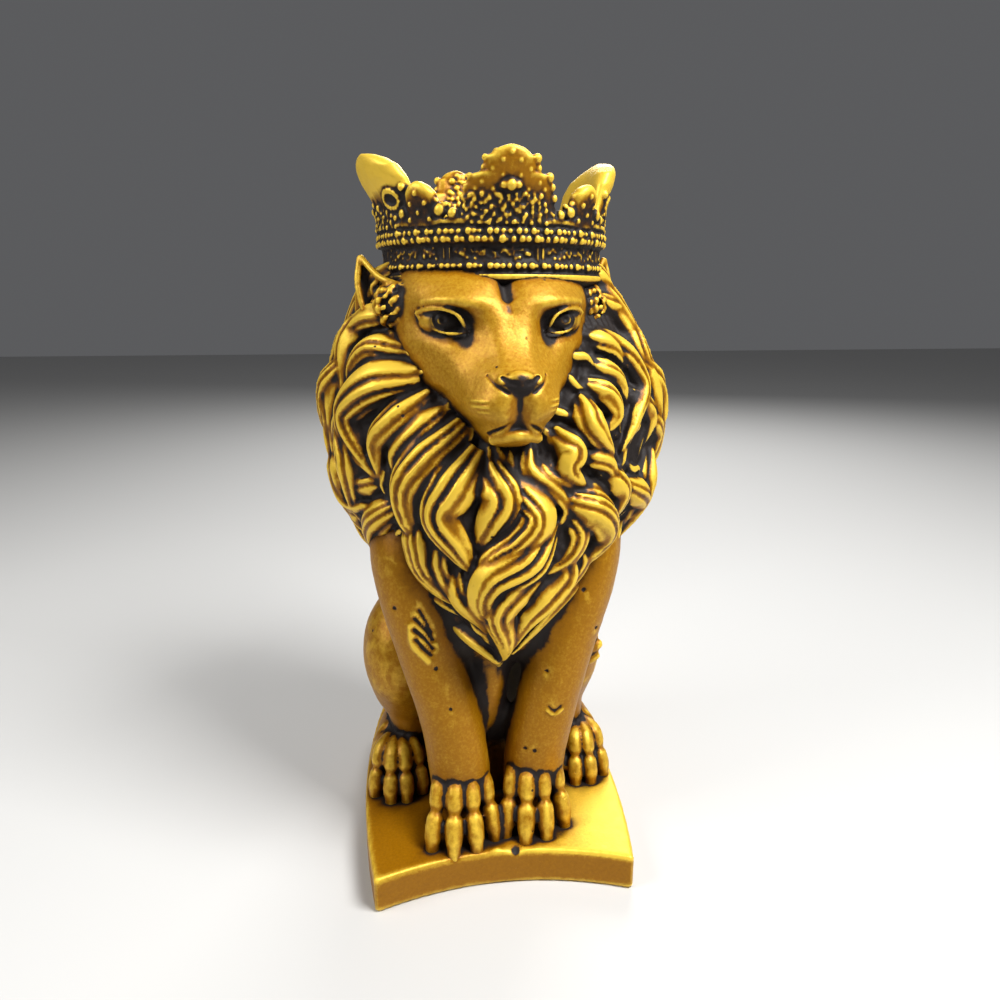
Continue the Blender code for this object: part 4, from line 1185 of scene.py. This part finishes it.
def gold_paint():
    """Gold paint rubbed over a dark base that stays in the hollows, with casting pits."""
    material = bpy.data.materials.new("gold_paint")
    material.use_nodes = True
    tree = material.node_tree
    shader = tree.nodes["Principled BSDF"]

    def feed(socket, value):
        if isinstance(value, bpy.types.NodeSocket):
            tree.links.new(value, socket)
        else:
            socket.default_value = value

    def node(kind, **values):
        made = tree.nodes.new(kind)
        for name, value in values.items():
            socket = made.inputs.get(name.replace("_", " "))
            if socket is None:
                setattr(made, name, value)
            else:
                feed(socket, value)
        return made

    def fractal(scale, detail=4, rough=0.6):
        made = node("ShaderNodeTexNoise", Vector=place, Scale=scale, Detail=detail, Roughness=rough)
        return made.outputs["Fac"]

    def sums(operation, *values):
        made = node("ShaderNodeMath", operation=operation)
        for socket, value in zip(made.inputs, values):
            feed(socket, value)
        return made.outputs[0]

    def ramp(factor, stops):
        made = node("ShaderNodeValToRGB", Fac=factor)
        elements = made.color_ramp.elements
        while len(elements) < len(stops):
            elements.new(0.5)
        for element, (position, colour) in zip(elements, stops):
            element.position = position
            element.color = (*colour, 1)
        return made.outputs["Color"]

    def blend(factor, first, second):
        made = node("ShaderNodeMix", data_type="RGBA")
        for key, value in (("Factor", factor), (6, first), (7, (*second, 1))):
            feed(made.inputs[key], value)
        return made.outputs[2]

    place = node("ShaderNodeTexCoord").outputs["Object"]
    recess = node("ShaderNodeAttribute", attribute_name="recess").outputs["Fac"]
    # This attribute brings rubbed gold together with painted highlights and a painted reflection.
    crest_and_highlight = node("ShaderNodeAttribute", attribute_name="crest_and_highlight").outputs["Fac"]
    patches = sums("MULTIPLY_ADD", fractal(PATCH_SCALE), PATCH_STIR, -0.5 * PATCH_STIR)
    grain = sums("MULTIPLY_ADD", fractal(GRAIN_SCALE, 3, 0.7), GRAIN_STIR, -0.5 * GRAIN_STIR)
    level = sums("ADD", sums("ADD", recess, patches), grain)
    pits = node("ShaderNodeTexVoronoi", Vector=place, Scale=PIT_SCALE).outputs["Distance"]
    core, rim = PIT_EDGE
    pit = node("ShaderNodeMapRange", Value=pits, From_Min=core, From_Max=rim, To_Min=1, To_Max=0)
    sparse = sums("GREATER_THAN", fractal(PIT_GAPS), 0.5)
    pit = sums("MULTIPLY", pit.outputs["Result"], sparse)
    level = sums("ADD", level, sums("MULTIPLY", pit, 0.5))
    # Rubbed gold plus painted highlights and a painted reflection, stirred by grain.
    rubbed = sums("ADD", crest_and_highlight, grain)
    bright = ramp(rubbed, ((0, GOLD_DEEP), (0.35, GOLD), (0.8, GOLD_BRIGHT)))
    shade = ramp(level, ((0.32, BLACK), (0.56, WHITE)))
    edge = ramp(level, ((0.16, BLACK), (0.48, WHITE)))
    satin = sums("MULTIPLY_ADD", fractal(SATIN_SCALE), 0.22, GOLD_ROUGHNESS)
    height = sums("SUBTRACT", sums("MULTIPLY", fractal(BUMP_SCALE, 4, 0.65), 0.5), pit)
    bump = node("ShaderNodeBump", Distance=BUMP_HEIGHT, Strength=0.5, Height=height)
    for name, value in (
        ("Base Color", blend(shade, blend(edge, bright, GOLD_BROWN), PATINA)),
        ("Metallic", sums("MULTIPLY_ADD", shade, -0.25, GOLD_METALLIC)),
        ("Roughness", sums("MULTIPLY_ADD", shade, 0.2, satin)),
        ("Specular IOR Level", GOLD_SPECULAR),
        ("Normal", bump.outputs["Normal"]),
    ):
        feed(shader.inputs[name], value)
    return material


def camera():
    data = bpy.data.cameras.new("photo_view")
    data.sensor_width = FILM_WIDTH
    data.lens = FILM_WIDTH * FOCAL_SHARE
    data.clip_start = 0.01
    made = placed("photo_view", data)
    made.location = CAMERA_PLACE
    made.rotation_euler = (radians(CAMERA_TILT), 0, radians(CAMERA_TURN))
    bpy.context.scene.camera = made


def area_light(name, place, size, power):
    data = bpy.data.lights.new(name, "AREA")
    data.size = size
    data.energy = power
    made = placed(name, data)
    made.location = place
    made.rotation_euler = (Vector(LIGHT_AIM) - Vector(place)).to_track_quat("-Z", "Y").to_euler()


def stage():
    bm = bmesh.new()
    bmesh.ops.create_grid(bm, x_segments=1, y_segments=1, size=2)
    floor = object_from(bm, "floor")
    material = bpy.data.materials.new("pale_floor")
    material.use_nodes = True
    shader = material.node_tree.nodes["Principled BSDF"]
    shader.inputs["Base Color"].default_value = FLOOR_COLOUR
    shader.inputs["Roughness"].default_value = FLOOR_ROUGHNESS
    floor.data.materials.append(material)
    world = bpy.data.worlds.new("studio")
    bpy.context.scene.world = world
    world.use_nodes = True
    sky = world.node_tree.nodes["Background"]
    sky.inputs["Color"].default_value = SKY_COLOUR
    sky.inputs["Strength"].default_value = SKY_STRENGTH
    bpy.context.scene.view_settings.view_transform = "Standard"
    for name, (place, size, power) in LIGHTS.items():
        area_light(name, place, size, power)


def finish_piece(made, material):
    made.data.materials.clear()
    made.data.materials.append(material)
    made.data.shade_smooth()
    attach(made, "root")
    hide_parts(NODE)


gold = gold_paint()
to_metres = Matrix.Translation((0, 0, PLINTH_HEIGHT)) @ Matrix.Scale(SHARE, 4)
pieces = [body_piece(), mane_piece(), face_piece(), crown_piece()]
for piece in pieces:
    piece.data.transform(to_metres)
pieces.append(plinth_piece())
add_patina(pieces)
for piece in pieces:
    finish_piece(piece, gold)
camera()
stage()
